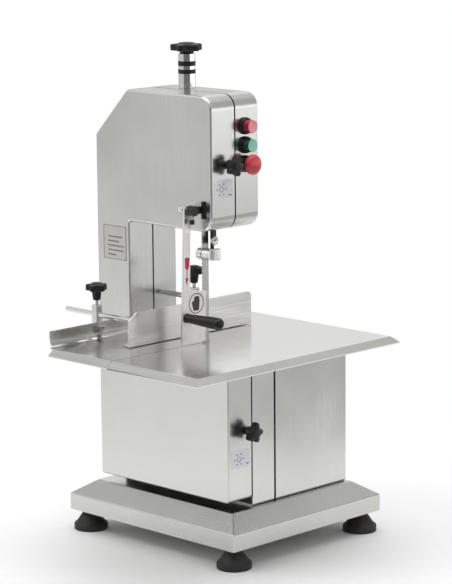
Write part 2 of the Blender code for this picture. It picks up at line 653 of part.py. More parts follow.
def build_table():
    bm = bmesh.new()
    bmesh.ops.create_grid(bm, x_segments=1, y_segments=1, size=0.5)
    width = TABLE_RIGHT - TABLE_LEFT + 2 * APRON_OUT
    depth = TABLE_BACK - TABLE_FRONT + 2 * APRON_OUT
    bmesh.ops.scale(bm, vec=(width, depth, 1.0), verts=bm.verts)
    bmesh.ops.inset_region(bm, faces=list(bm.faces), thickness=APRON_OUT, depth=APRON_DROP,
                           use_even_offset=True, use_boundary=True)
    left = [face for face in bm.faces if face.normal.x < -0.3]
    bmesh.ops.delete(bm, geom=left, context="FACES_ONLY")
    fold = [edge for edge in bm.edges
            if edge.is_boundary and all(v.co.x < -width / 2 + APRON_OUT + 0.0001 for v in edge.verts)
            and all(abs(v.co.z - APRON_DROP) < 0.0001 for v in edge.verts)]
    raised = bmesh.ops.extrude_edge_only(bm, edges=fold)["geom"]
    lifted = [item for item in raised if isinstance(item, bmesh.types.BMVert)]
    bmesh.ops.translate(bm, vec=(0, 0, FLANGE_HEIGHT), verts=lifted)
    loose = [edge for edge in bm.edges if not edge.link_faces]
    bmesh.ops.delete(bm, geom=loose, context="EDGES")
    bmesh.ops.recalc_face_normals(bm, faces=bm.faces)
    if max(bm.faces, key=lambda face: face.calc_area()).normal.z < 0.0:
        bmesh.ops.reverse_faces(bm, faces=bm.faces)
    table = mesh_object("table_top", bm)
    place(table, ROOT, ((TABLE_LEFT + TABLE_RIGHT) / 2, (TABLE_FRONT + TABLE_BACK) / 2,
                        TABLE_TOP - APRON_DROP))
    solid = table.modifiers.new("sheet", "SOLIDIFY")
    solid.thickness = TABLE_SHEET
    solid.offset = -1.0
    solid.solidify_mode = "NON_MANIFOLD"
    solid.nonmanifold_thickness_mode = "CONSTRAINTS"
    cut_box(table, (BLADE_X - 0.0012, TABLE_FRONT - 0.020, 0.340), (BLADE_X + 0.0012, -0.112, 0.372))
    # The flange stops short of the front edge, so the pusher clears it as the door opens.
    cut_box(table, (TABLE_LEFT - 0.005, TABLE_FRONT - 0.020, TABLE_TOP + 0.0006),
            (TABLE_LEFT + 0.005, TABLE_FRONT + FLANGE_RELIEF, TABLE_TOP + 0.040))
    finish(table, POLISHED)
    for side_name, low_x, high_x in (("left", -0.050, -0.022), ("right", 0.112, 0.140)):
        box("table_bracket_" + side_name, STAINLESS, (low_x, -0.088, LOWER_TOP + GAP),
            (high_x, 0.100, TABLE_TOP - TABLE_SHEET - GAP), bevel=0.001, segments=1)


# ---------------------------------------------------------------- fence


def build_fence():
    fence_left = FENCE_RIGHT - FENCE_SHEET
    outline = [
        (FENCE_FRONT, TABLE_TOP + 0.001, 0.0), (FENCE_BACK, TABLE_TOP + 0.001, 0.0),
        (FENCE_BACK, FENCE_TOP, 0.008), (FENCE_FRONT + 0.018, FENCE_TOP, 0.002),
        (FENCE_FRONT, FENCE_TOP - 0.012, 0.002)]
    middle = ((fence_left + FENCE_RIGHT) / 2, 0.0, 0.0)
    fence = plate_object("fence", outline, FENCE_SHEET, middle, UPRIGHT_YZ, FENCE)
    finish(fence, POLISHED)
    join_box(fence, (0.0080, FENCE_FRONT + 0.004, TABLE_TOP + 0.001),
             (fence_left + 0.001, FENCE_BACK - 0.004, TABLE_TOP + 0.0035), FENCE)
    cut_box(fence, (0.020, REAR_ROD_Y - 0.0055, REAR_ROD_Z - 0.0055),
            (0.040, REAR_ROD_Y + 0.0055, REAR_ROD_Z + 0.010), FENCE)
    rod_left = -0.153
    cylinder("front_fence_rod", POLISHED, (rod_left, FRONT_ROD_Y, FRONT_ROD_Z), "+X",
             fence_left - GAP - rod_left, ROD_RADIUS, FENCE, sides=16)
    rear_start = COLUMN_RIGHT + GAP
    cylinder("rear_fence_rod", POLISHED, (rear_start, REAR_ROD_Y, REAR_ROD_Z), "+X",
             0.042 - rear_start, ROD_RADIUS, sides=16)
    half = 0.0065
    front_top = 0.4230
    front_block = box("front_clamp_block", POLISHED,
                      (FRONT_CLAMP_X - half, FRONT_ROD_Y - half, 0.3720),
                      (FRONT_CLAMP_X + half, FRONT_ROD_Y + half, front_top), bevel=0.001, segments=1)
    join_box(front_block, (FRONT_CLAMP_X, FRONT_ROD_Y - half + 0.001, 0.3735),
             (TABLE_LEFT - TABLE_SHEET - GAP, FRONT_ROD_Y + half - 0.001, 0.3880))
    rear_top = 0.4446
    rear_block = box("rear_clamp_block", POLISHED, (REAR_CLAMP_X - half, REAR_ROD_Y - half, 0.3750),
                     (REAR_CLAMP_X + half, REAR_ROD_Y + half, rear_top), FENCE, bevel=0.001, segments=1)
    join_box(rear_block, (REAR_CLAMP_X, REAR_ROD_Y - half + 0.001, 0.3760),
             (fence_left - GAP, REAR_ROD_Y + half - 0.001, 0.4080), FENCE)
    blocks = (
        ("front_clamp_knob", front_block, ROOT, FRONT_CLAMP_X, FRONT_ROD_Y, FRONT_ROD_Z, front_top),
        ("rear_clamp_knob", rear_block, FENCE, REAR_CLAMP_X, REAR_ROD_Y, REAR_ROD_Z, rear_top))
    for name, block, carrier, x, y, rod_z, top in blocks:
        cut_hole(block, (x - 0.020, y, rod_z), "+X", 0.040, ROD_RADIUS + GAP, carrier, sides=16)
        cut_hole(block, (x, y, rod_z), "+Z", 0.040, 0.0033, carrier, sides=16)
        axis = make_pivot(name + "_axis", (x, y, top), carrier)
        hub_foot = top + 0.0075
        star_knob(name, (x, y, hub_foot), "+Z", axis, 0.0187, hub_foot - (rod_z + ROD_RADIUS + GAP), 0.0160,
                  0.0110, stud_radius=0.0030)


# ---------------------------------------------------------------- door and pusher


def build_door():
    door = pan("door_shell", STAINLESS, casing_corners(DOOR_BOTTOM, 0.008), DOOR_FRONT, SEAM_Y - 0.001,
               "back", 0.004, DOOR)
    # The blade and its guide leave the head and enter the body through slots that are open to the back.
    cut_box(door, (0.074, BLADE_FRONT - 0.005, HEAD_BOTTOM - 0.003), (0.104, -0.080, HEAD_BOTTOM + 0.004), DOOR)
    cut_box(door, (0.076, BLADE_FRONT - 0.005, LOWER_TOP - 0.004), (0.098, -0.080, LOWER_TOP + 0.003), DOOR)
    latches = (("upper_door_knob", UPPER_LATCH), ("lower_door_knob", LOWER_LATCH))
    for name, (wall_x, y, z) in latches:
        cut_hole(door, (wall_x - 0.004, y, z), "+X", 0.008, 0.0045, DOOR, sides=16)
        axis = make_pivot(name + "_axis", (wall_x, y, z), DOOR)
        hub_foot = wall_x + 0.0006
        stud = hub_foot - (wall_x - 0.0065)
        star_knob(name, (hub_foot, y, z), "+X", axis, 0.0175, stud, 0.0125, 0.0120, stud_radius=0.0040,
                  extra_stud=(0.0072, 0.0035))
    for name, z in zip(("lower", "upper"), HINGE_LOW_Z):
        build_hinge(name, z)


def build_hinge(name, z):
    """A lift-off hinge: the lower barrel and its pin stay on the frame, the upper barrel is the door's."""
    half = 0.024
    fixed = cylinder("hinge_frame_" + name, POLISHED, (HINGE_X, HINGE_Y, z), "+Z", half, 0.0050)
    join_cylinder(fixed, (HINGE_X, HINGE_Y, z + half - 0.002), "+Z", half - 0.002, 0.0025, sides=16)
    join_box(fixed, (HINGE_X + 0.001, HINGE_Y - 0.001, z), (-0.1584, HINGE_Y + 0.004, z + half))
    join_box(fixed, (-0.1605, HINGE_Y + 0.002, z), (-0.1584, -0.086, z + half))
    join_box(fixed, (-0.1605, -0.089, z), (BODY_LEFT - GAP, -0.045, z + half))
    moving = cylinder("hinge_door_" + name, POLISHED, (HINGE_X, HINGE_Y, z + half + GAP), "+Z", half, 0.0050,
                      DOOR)
    join_box(moving, (HINGE_X + 0.001, HINGE_Y - 0.004, z + half + GAP),
             (BODY_LEFT - GAP, HINGE_Y + 0.001, z + 2 * half + GAP), DOOR)
    join_box(moving, (-0.1583, -0.144, z + half + GAP), (BODY_LEFT - GAP, HINGE_Y, z + 2 * half + GAP), DOOR)
    cut_hole(moving, (HINGE_X, HINGE_Y, z + half - 0.001), "+Z", half + 0.004, 0.0028, DOOR, sides=16)


def leaning(y, z):
    """The pusher hangs a little forward of upright: y moved forward by the height below its top."""
    return y - PUSHER_LEAN * (0.600 - z) / (0.600 - TABLE_TOP)


def build_pusher():
    bracket = box("pusher_bracket", POLISHED, (0.1016, DOOR_FRONT - GAP - 0.0025, 0.5780),
                  (0.1120, DOOR_FRONT - GAP, 0.6070), DOOR)
    join_box(bracket, (0.1090, PIVOT_Y - 0.006, 0.5830), (0.1120, DOOR_FRONT - 0.001, 0.6060), DOOR)
    cut_hole(bracket, (0.1050, PIVOT_Y, PIVOT_Z), "+X", 0.010, 0.0043, DOOR)
    pin_profile = [
        (0.0, 0.0460), (0.0040, 0.0460), (0.0040, 0.0350), (0.0055, 0.0350), (0.0055, 0.0300),
        (0.0076, 0.0296), (0.0076, 0.0206), (0.0042, 0.0202), (0.0042, 0.0100), (0.0065, 0.0090),
        (0.0065, 0.0005), (0.0060, 0.0), (0.0, 0.0)]
    turned("pusher_pin", POLISHED, pin_profile, (0.0710, PIVOT_Y, PIVOT_Z), "+X", DOOR, steps=16)
    web = 0.002
    wide = PUSHER_FRONT + 0.0535
    narrow = PUSHER_FRONT + 0.0138
    foot = TABLE_TOP + 0.004
    outline = [
        (PUSHER_FRONT, foot, 0.001), (wide, foot, 0.002), (wide, 0.4535, 0.002), (narrow + 0.0012, 0.460, 0.004),
        (narrow, 0.590, 0.003), (narrow, 0.600, 0.005), (PUSHER_FRONT, 0.600, 0.005)]
    outline = [(leaning(y, z), z, radius) for y, z, radius in outline]
    arm = plate_object("pusher_arm", outline, web, (PUSHER_X - web / 2, 0.0, 0.0), UPRIGHT_YZ, PUSHER,
                       arc_steps=3)
    finish(arm, POLISHED)
    flange = [
        (PUSHER_FRONT - 0.0004, foot), (PUSHER_FRONT + web, foot), (PUSHER_FRONT + web, 0.5980),
        (PUSHER_FRONT - 0.0004, 0.5980)]
    flange = [(leaning(y, z), z, 0.0) for y, z in flange]
    tool = plate_object("pusher_flange", flange, 0.004, (PUSHER_X - 0.0025, 0.0, 0.0), UPRIGHT_YZ, PUSHER,
                        CUTTERS)
    combine(arm, tool, "UNION")
    cut_hole(arm, (PUSHER_X - 0.006, PIVOT_Y, PIVOT_Z), "+X", 0.012, 0.0045, PUSHER)
    # Square teeth along the lower back edge grip what is being pushed.
    for tooth in range(7):
        z = TABLE_TOP + 0.010 + 0.010 * tooth
        y = leaning(wide, z)
        cut_box(arm, (PUSHER_X - 0.004, y - 0.0015, z), (PUSHER_X + 0.004, y + 0.004, z + 0.004), PUSHER)
    grip_profile = [
        (0.0, 0.0825), (0.0055, 0.0815), (0.0090, 0.0775), (0.0100, 0.0705), (0.0095, 0.0570),
        (0.0068, 0.0040), (0.0060, 0.0), (0.0, 0.0)]
    turned("pusher_grip", BLACK_PLASTIC, grip_profile,
           (PUSHER_X + GAP, leaning(PUSHER_FRONT, GRIP_Z) + 0.007, GRIP_Z), "+X", PUSHER, steps=16)


# ---------------------------------------------------------------- controls


def build_buttons():
    rows = (
        ("stop", STOP_Z, PINK_PLASTIC, [(0.0, 0.0190), (0.0105, 0.0190), (0.0110, 0.0180)]),
        ("start", START_Z, GREEN_PLASTIC, [(0.0, 0.0185), (0.0105, 0.0185), (0.0110, 0.0175)]),
        ("emergency", EMERGENCY_Z, RED_PLASTIC,
         [(0.0, 0.0265), (0.0120, 0.0250), (0.0165, 0.0215), (0.0170, 0.0180), (0.0160, 0.0150)]))
    for name, z, material, head in rows:
        bezel_height = 0.0110 if name != "emergency" else 0.0060
        bezel = [
            (0.0114, bezel_height), (0.0130, bezel_height), (0.0142, bezel_height * 0.6), (0.0142, 0.0),
            (0.0109, 0.0), (0.0109, -0.014), (0.0094, -0.014), (0.0094, 0.0), (0.0114, 0.0004)]
        turned("bezel_" + name, BLACK_PLASTIC, bezel, (HEAD_RIGHT + GAP, BUTTON_Y, z), "+X", steps=16,
               closed=True)
        axis = make_pivot(name + "_button_axis", (HEAD_RIGHT, BUTTON_Y, z), ROOT)
        stem = [(0.0110, 0.0055), (0.0090, 0.0050), (0.0090, -0.0120), (0.0, -0.0120)]
        if name == "emergency":
            stem[0] = (0.0105, 0.0145)
            stem[1] = (0.0090, 0.0130)
        turned("button_" + name, material, head + stem, (HEAD_RIGHT + GAP, BUTTON_Y, z), "+X", axis, steps=16)


build_base()
build_frame()
build_motor_box()
build_drive()
build_upper_wheel()
build_blade()
build_tension_post()
build_guides()
build_table()
build_fence()
build_door()
build_pusher()
build_buttons()
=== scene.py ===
"""Looks of a countertop bone saw: brushed stainless shells, side table, fence, pusher, knobs and buttons.

Lengths are in metres, laid out about the middle of the base.  make() moves them to where the frame stands.
"""

import math

import bmesh
import bpy
from mathutils import Matrix, Vector


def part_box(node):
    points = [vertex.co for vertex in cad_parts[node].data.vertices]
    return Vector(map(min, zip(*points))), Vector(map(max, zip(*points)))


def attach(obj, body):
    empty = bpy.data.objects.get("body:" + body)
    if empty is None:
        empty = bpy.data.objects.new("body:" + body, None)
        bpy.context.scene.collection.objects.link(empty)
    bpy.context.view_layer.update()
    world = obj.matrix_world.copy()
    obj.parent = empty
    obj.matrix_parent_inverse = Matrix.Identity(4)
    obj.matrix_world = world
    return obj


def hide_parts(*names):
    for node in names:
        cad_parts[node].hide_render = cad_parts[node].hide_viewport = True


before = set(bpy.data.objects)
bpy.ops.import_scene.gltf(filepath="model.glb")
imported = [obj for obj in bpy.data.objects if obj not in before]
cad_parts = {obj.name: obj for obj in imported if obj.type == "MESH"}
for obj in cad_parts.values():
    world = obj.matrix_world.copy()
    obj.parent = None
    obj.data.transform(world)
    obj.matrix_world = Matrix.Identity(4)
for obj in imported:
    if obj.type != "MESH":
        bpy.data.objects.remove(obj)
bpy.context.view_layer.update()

FEET = (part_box("foot_front_left")[0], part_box("foot_rear_right")[1])
SHIFT = Vector(((FEET[0].x + FEET[1].x) / 2, (FEET[0].y + FEET[1].y) / 2, 0.0))


def layout(node):
    """A frame node's corners, in the layout about the middle of the base."""
    low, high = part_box(node)
    return low - SHIFT, high - SHIFT


# ---------------------------------------------------------------- sizes
SHEET = 0.0015
GAP = 0.0003
DOOR_FRONT = layout("door_shell")[0].y
DOOR_BACK = layout("door_shell")[1].y
DOOR_BOTTOM = layout("door_shell")[0].z
BODY_LEFT = layout("door_shell")[0].x
BODY_RIGHT = layout("door_shell")[1].x
FRAME_FRONT = DOOR_BACK + 0.003
FRAME_BACK = layout("frame_shell")[1].y
FRAME_BOTTOM = layout("frame_shell")[0].z
HEAD_TOP = layout("door_shell")[1].z
HEAD_BOTTOM = 0.556
LOWER_TOP = 0.350
HEAD_RIGHT = 0.1235
COLUMN_RIGHT = -0.076
BOX_FRONT = layout("motor_box")[0].y
BOX_BACK = layout("motor_box")[1].y
WHEEL_X = -0.016
WHEEL_RADIUS = 0.100
WHEEL_Z = {"lower": 0.229, "upper": 0.668}
BLADE_FRONT = -0.134
BLADE_BACK = -0.118
BLADE_X = 0.0846
TABLE_TOP = 0.366
POST_X = -0.015
POST_Y = -0.066
BUTTON_Y = -0.069
LATCHES = {"upper": (HEAD_RIGHT, -0.112, 0.665), "lower": (BODY_RIGHT, -0.107, 0.222)}
CLAMPS = {"front": (-0.077, -0.2234), "rear": (0.0142, -0.083)}
PIVOT_Y = -0.1675
PIVOT_Z = 0.593
PUSHER_FRONT = PIVOT_Y - 0.0075
PUSHER_TOP = 0.600
PUSHER_LEAN = 0.0085
GRIP_Z = 0.414
ROLLER_Y = -0.1262
ROLLER_Z = 0.5150

# ---------------------------------------------------------------- materials


def new_material(name):
    material = bpy.data.materials.new(name)
    material.use_nodes = True
    tree = material.node_tree
    return material, tree.nodes, tree.links, tree.nodes["Principled BSDF"]


def noise(nodes, links, vector, scale, detail=3.0, stretch=None):
    if stretch is not None:
        mapping = nodes.new("ShaderNodeMapping")
        mapping.inputs["Scale"].default_value = stretch
        links.new(vector, mapping.inputs["Vector"])
        vector = mapping.outputs["Vector"]
    texture = nodes.new("ShaderNodeTexNoise")
    texture.inputs["Scale"].default_value = scale
    texture.inputs["Detail"].default_value = detail
    links.new(vector, texture.inputs["Vector"])
    return texture.outputs["Fac"]


def mapped(nodes, links, value, low, high):
    node = nodes.new("ShaderNodeMapRange")
    node.inputs["From Min"].default_value = 0.3
    node.inputs["From Max"].default_value = 0.7
    node.inputs["To Min"].default_value = low
    node.inputs["To Max"].default_value = high
    links.new(value, node.inputs["Value"])
    return node.outputs["Result"]


def two_colours(nodes, links, value, dark, light):
    ramp = nodes.new("ShaderNodeValToRGB")
    ramp.color_ramp.elements[0].position = 0.3
    ramp.color_ramp.elements[0].color = (*dark, 1.0)
    ramp.color_ramp.elements[1].position = 0.7
    ramp.color_ramp.elements[1].color = (*light, 1.0)
    links.new(value, ramp.inputs["Fac"])
    return ramp.outputs["Color"]


def add_bump(nodes, links, shader, height, strength, distance):
    bump = nodes.new("ShaderNodeBump")
    bump.inputs["Strength"].default_value = strength
    bump.inputs["Distance"].default_value = distance
    links.new(height, bump.inputs["Height"])
    links.new(bump.outputs["Normal"], shader.inputs["Normal"])


def shaded(colour, amount):
    return tuple(max(0.0, min(1.0, channel * amount)) for channel in colour)


def brushed(name, colour, rough, grain, contrast=0.05, spread=0.06, bump=0.15, wave=0.0):
    """Brushed sheet: grain lines run along the axis whose stretch is small, over faint rolling marks."""
    material, nodes, links, shader = new_material(name)
    place = nodes.new("ShaderNodeTexCoord").outputs["Object"]
    lines = noise(nodes, links, place, 1.0, 4.0, grain)
    cloud = noise(nodes, links, place, 7.0, 2.0)
    tone = two_colours(nodes, links, lines, shaded(colour, 1.0 - contrast), shaded(colour, 1.0 + contrast))
    haze = two_colours(nodes, links, cloud, (0.93, 0.935, 0.93), (1.0, 1.0, 1.0))
    mix = nodes.new("ShaderNodeMix")
    mix.data_type = "RGBA"
    mix.blend_type = "MULTIPLY"
    mix.inputs["Factor"].default_value = 1.0
    links.new(tone, mix.inputs["A"])
    links.new(haze, mix.inputs["B"])
    links.new(mix.outputs["Result"], shader.inputs["Base Color"])
    shader.inputs["Metallic"].default_value = 1.0
    fine = mapped(nodes, links, lines, rough - spread, rough + spread)
    broad = mapped(nodes, links, cloud, -0.03, 0.03)
    total = nodes.new("ShaderNodeMath")
    total.operation = "ADD"
    links.new(fine, total.inputs[0])
    links.new(broad, total.inputs[1])
    links.new(total.outputs["Value"], shader.inputs["Roughness"])
    height = lines
    if wave > 0.0:
        swell = nodes.new("ShaderNodeMath")
        swell.operation = "MULTIPLY_ADD"
        swell.inputs[1].default_value = wave
        links.new(noise(nodes, links, place, 5.0, 1.0), swell.inputs[0])
        links.new(lines, swell.inputs[2])
        height = swell.outputs["Value"]
    add_bump(nodes, links, shader, height, bump, 0.0001)
    return material


def plain(name, colour, rough, metallic=0.0, grain=900.0, contrast=0.12, bump=0.12, coat=0.0, specular=0.5):
    """Moulded, painted or cast material: fine grain, faint tone changes and uneven gloss."""
    material, nodes, links, shader = new_material(name)
    place = nodes.new("ShaderNodeTexCoord").outputs["Object"]
    fine = noise(nodes, links, place, grain, 3.0)
    cloud = noise(nodes, links, place, 45.0, 3.0)
    tone = two_colours(nodes, links, cloud, shaded(colour, 1.0 - contrast), shaded(colour, 1.0 + contrast))
    links.new(tone, shader.inputs["Base Color"])
    links.new(mapped(nodes, links, cloud, rough - 0.06, rough + 0.06), shader.inputs["Roughness"])
    shader.inputs["Metallic"].default_value = metallic
    shader.inputs["Coat Weight"].default_value = coat
    shader.inputs["Specular IOR Level"].default_value = specular
    add_bump(nodes, links, shader, fine, bump, 0.0002)
    return material


VERTICAL = (900.0, 900.0, 7.0)
ALONG_X = (6.0, 900.0, 900.0)
ALONG_Y = (900.0, 6.0, 900.0)
STAINLESS = brushed("stainless_brushed", (0.70, 0.70, 0.675), 0.24, VERTICAL, contrast=0.012,
                    spread=0.02, bump=0.035, wave=3.4)
BASE_STEEL = brushed("stainless_base", (0.64, 0.635, 0.615), 0.24, ALONG_X, contrast=0.03,
                     spread=0.04, bump=0.08, wave=1.0)
TABLE_STEEL = brushed("stainless_table", (0.74, 0.735, 0.715), 0.20, ALONG_X, contrast=0.04, wave=3.0)
POLISHED = brushed("stainless_polished", (0.76, 0.755, 0.74), 0.10, ALONG_Y, contrast=0.03, spread=0.03,
                   bump=0.05, wave=2.0)
FENCE_STEEL = brushed("stainless_fence", (0.88, 0.87, 0.855), 0.22, ALONG_Y, contrast=0.03, spread=0.04,
                      bump=0.06, wave=1.0)
PUSHER_STEEL = brushed("stainless_satin", (0.90, 0.885, 0.875), 0.34, VERTICAL, contrast=0.03, bump=0.06)
CHROME = brushed("chrome_bright", (0.82, 0.82, 0.83), 0.06, ALONG_X, contrast=0.02, spread=0.02, bump=0.02)
BLADE_STEEL = brushed("blade_band", (0.50, 0.495, 0.48), 0.30, VERTICAL, contrast=0.12, bump=0.2)
# Blackened steel for the blade guides; the same dark colour is also painted shade on the lip under the door
# and on the pusher's boss, nut and plate.
BLACKENED_STEEL_AND_PAINTED_SHADE = plain("steel_blackened_and_painted_shade", (0.045, 0.044, 0.042), 0.36, 0.85, contrast=0.3)
CAST_ALLOY = plain("alloy_cast", (0.55, 0.56, 0.57), 0.40, 0.95, grain=600.0, bump=0.35)
BLACK_PLASTIC = plain("plastic_black", (0.008, 0.008, 0.0085), 0.42, contrast=0.3, specular=0.35)
RUBBER = plain("rubber_black", (0.017, 0.015, 0.014), 0.62, grain=500.0, contrast=0.3, bump=0.4)
# Painted light and shade: each button's face and side are one plastic, the face coloured lighter as lit and
# the side darker as shaded.
STOP_SHADED_SIDE = plain("plastic_stop_painted_shade_side", (0.30, 0.012, 0.030), 0.28, coat=0.3)
STOP_LIT_FACE = plain("plastic_stop_painted_light_face", (0.93, 0.29, 0.35), 0.38, coat=0.2)
START_SHADED_SIDE = plain("plastic_start_painted_shade_side", (0.010, 0.075, 0.048), 0.28, coat=0.3)
START_LIT_FACE = plain("plastic_start_painted_light_face", (0.27, 0.62, 0.50), 0.38, coat=0.2)
RED_PLASTIC = plain("plastic_emergency", (0.62, 0.035, 0.055), 0.34, coat=0.3)
MOTOR_PAINT = plain("paint_motor", (0.10, 0.16, 0.22), 0.45, grain=400.0, bump=0.3)
LABEL_FILM = plain("label_film", (0.80, 0.80, 0.84), 0.30, grain=300.0, contrast=0.03, bump=0.03)
LABEL_GREY = plain("label_etched", (0.20, 0.20, 0.19), 0.55, 0.6, contrast=0.15)
LABEL_PLATE = plain("label_plate", (0.58, 0.57, 0.55), 0.42, 0.9, contrast=0.04)
LABEL_BLUE = plain("label_ink_blue", (0.16, 0.17, 0.36), 0.45)
PUSHER_FILM = plain("label_film_blush", (0.98, 0.93, 0.93), 0.30, contrast=0.05)
LABEL_RED = plain("label_ink_red", (0.60, 0.015, 0.07), 0.42)
LABEL_DARK = plain("label_ink_dark", (0.055, 0.025, 0.035), 0.45)
FLOOR = plain("floor_pale", (0.92, 0.92, 0.92), 0.80, grain=60.0, contrast=0.01, bump=0.02)
FLOOR_SOLID = 0.50
FLOOR_EDGE = 1.30

# ---------------------------------------------------------------- mesh helpers


def rounded(corners, steps=10):
    """The outline through (a, b, radius) corners, each round one replaced by an arc."""
    outline = []
    for i, (a, b, radius) in enumerate(corners):
        here = Vector((a, b))
        if radius <= 0.0:
            outline.append(here)
            continue
        before = (Vector(corners[i - 1][:2]) - here).normalized()
        after = (Vector(corners[(i + 1) % len(corners)][:2]) - here).normalized()
        half = before.angle(after) / 2
        centre = here + (before + after).normalized() * (radius / math.sin(half))
        start = here + before * (radius / math.tan(half)) - centre
        end = here + after * (radius / math.tan(half)) - centre
        turn = start.angle_signed(end)
        for step in range(steps + 1):
            outline.append(centre + Matrix.Rotation(-turn * step / steps, 2) @ start)
    return outline


PLANES = {
    "XY": lambda a, b, t: (a, b, t),
    "XZ": lambda a, b, t: (a, t, b),
    "YZ": lambda a, b, t: (t, a, b),
}


def prism(bm, outline, plane, low, high):
    """Adds the outline, extruded from low to high; returns its two end faces."""
    spot = PLANES[plane]
    ends = [[bm.verts.new(spot(a, b, t)) for a, b in outline] for t in (low, high)]
    faces = [bm.faces.new(ends[0]), bm.faces.new(ends[1][::-1])]
    sides = []
    for i in range(len(outline)):
        sides.append(bm.faces.new((ends[0][i - 1], ends[1][i - 1], ends[1][i], ends[0][i])))
    bmesh.ops.recalc_face_normals(bm, faces=faces + sides)
    return faces


def rectangle(low, high):
    return [(low[0], low[1]), (high[0], low[1]), (high[0], high[1]), (low[0], high[1])]


def soft_rectangle(low, high, radius, steps=10):
    return rounded([(a, b, radius) for a, b in rectangle(low, high)], steps)


def block(bm, low, high):
    return prism(bm, rectangle(low, high), "XY", low[2], high[2])


AXES = {
    "+Z": lambda r, c, s, h: (r * c, r * s, h),
    "+X": lambda r, c, s, h: (h, r * c, r * s),
    "+Y": lambda r, c, s, h: (r * s, h, r * c),
}


def loft(bm, rings, start, axis, steps=48, lobes=5, closed=False):
    """Rings of (radius, height, lobing) turned about the axis; a ring of no radius is a point."""
    spot = AXES[axis]
    made = []
    for ring in rings:
        radius, height = ring[:2]
        lobing = ring[2] if len(ring) > 2 else 0.0
        count = 1 if radius == 0.0 else steps
        row = []
        for step in range(count):
            angle = 2 * math.pi * step / steps
            reach = radius * (1.0 - lobing * (1.0 - math.cos(lobes * angle)) / 2)
            place = spot(reach, math.cos(angle), math.sin(angle), height)
            row.append(bm.verts.new(Vector(start) + Vector(place)))
        made.append(row)
    pairs = list(zip(made, made[1:]))
    if closed:
        pairs.append((made[-1], made[0]))
    faces = []
    for first, second in pairs:
        for step in range(steps):
            after = (step + 1) % steps
            if len(first) == 1 and len(second) == 1:
                continue
            if len(first) == 1:
                corners = (first[0], second[step], second[after])
            elif len(second) == 1:
                corners = (first[step], second[0], first[after])
            else:
                corners = (first[step], second[step], second[after], first[after])
            faces.append(bm.faces.new(corners))
    bmesh.ops.recalc_face_normals(bm, faces=faces)
    return faces


def soften(profile, radius, steps=3):
    """Rounds the corners of a turned profile that don't lie on the axis."""
    result = []
    last = len(profile) - 1
    for i, (r, h) in enumerate(profile):
        here = Vector((r, h))
        if i in (0, last) or r == 0.0:
            result.append((r, h))
            continue
        before = Vector(profile[i - 1]) - here
        after = Vector(profile[i + 1]) - here
        reach = min(radius, before.length * 0.45, after.length * 0.45)
        a = here + before.normalized() * reach
        b = here + after.normalized() * reach
        for step in range(steps + 1):
            t = step / steps
            result.append(tuple((1 - t) ** 2 * a + 2 * t * (1 - t) * here + t ** 2 * b))
    return result


def rod(bm, start, axis, length, radius, steps=32, edge=0.0005):
    profile = [(0.0, 0.0), (radius, 0.0), (radius, length), (0.0, length)]
    return loft(bm, soften(profile, edge), start, axis, steps)


def linked(name, data):
    """A new object in the scene."""
    obj = bpy.data.objects.new(name, data)
    bpy.context.scene.collection.objects.link(obj)
    return obj


def make(name, bm, material, body, slot, replaces=(), bevel=0.0, segments=3, sharp=32, sheet=0.0, cuts=()):
    """Turns the mesh into a piece that rides on a body, with soft edges and clean shading."""
    mesh = bpy.data.meshes.new(name)
    bmesh.ops.translate(bm, vec=SHIFT, verts=bm.verts)
    bm.to_mesh(mesh)
    bm.free()
    obj = linked(name, mesh)
    for one in material if isinstance(material, (list, tuple)) else [material]:
        mesh.materials.append(one)
    if sheet > 0.0:
        solid = obj.modifiers.new("sheet", "SOLIDIFY")
        solid.thickness = sheet
        solid.offset = -1.0
        solid.use_even_offset = True
    tools = []
    for low, high in cuts:
        cutter_mesh = bpy.data.meshes.new("cutter")
        cutter_bm = bmesh.new()
        block(cutter_bm, Vector(low) + SHIFT, Vector(high) + SHIFT)
        cutter_bm.to_mesh(cutter_mesh)
        cutter_bm.free()
        tool = linked("cutter", cutter_mesh)
        boolean = obj.modifiers.new("cut", "BOOLEAN")
        boolean.operation = "DIFFERENCE"
        boolean.object = tool
        boolean.solver = "EXACT"
        tools.append(tool)
    if bevel > 0.0:
        edge = obj.modifiers.new("edges", "BEVEL")
        edge.width = bevel
        edge.segments = segments
        edge.limit_method = "ANGLE"
        edge.angle_limit = math.radians(40)
    if obj.modifiers:
        bpy.context.view_layer.update()
        shape = bpy.data.meshes.new_from_object(obj.evaluated_get(bpy.context.evaluated_depsgraph_get()))
        obj.modifiers.clear()
        obj.data = shape
    for tool in tools:
        bpy.data.objects.remove(tool, do_unlink=True)
    obj.data.shade_smooth()
    obj.data.set_sharp_from_angle(angle=math.radians(sharp))
    flat = obj.modifiers.new("shading", "WEIGHTED_NORMAL")
    flat.keep_sharp = True
    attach(obj, body)
    if replaces:
        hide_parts(*replaces)
    return obj


def slab(name, low, high, material, body, slot, replaces=(), **finish):
    """A block as a piece of its own."""
    bm = bmesh.new()
    block(bm, low, high)
    return make(name, bm, material, body, slot, replaces, **finish)


def spun(name, rings, place, axis, steps, material, body, slot, replaces=(), closed=False, **finish):
    """A turned shape as a piece of its own."""
    bm = bmesh.new()
    loft(bm, rings, place, axis, steps, closed=closed)
    return make(name, bm, material, body, slot, replaces, **finish)


def pan(name, corners, front, back, open_back, edge_radius, body, replaces, sheet=SHEET, cuts=()):
    """A sheet-metal pan: the outline's wall and one closed face, with a round edge between them."""
    bm = bmesh.new()
    ends = prism(bm, rounded(corners), "XZ", front, back)
    closed, opened = (ends[0], ends[1]) if open_back else (ends[1], ends[0])
    rim = list(closed.edges)
    bmesh.ops.delete(bm, geom=[opened], context="FACES_ONLY")
    bmesh.ops.bevel(bm, geom=rim, offset=edge_radius, segments=5, profile=0.5, affect="EDGES",
                    clamp_overlap=False)
    return make(name, bm, STAINLESS, body, "stainless", replaces, sheet=sheet, cuts=cuts, sharp=34)


# ---------------------------------------------------------------- casing


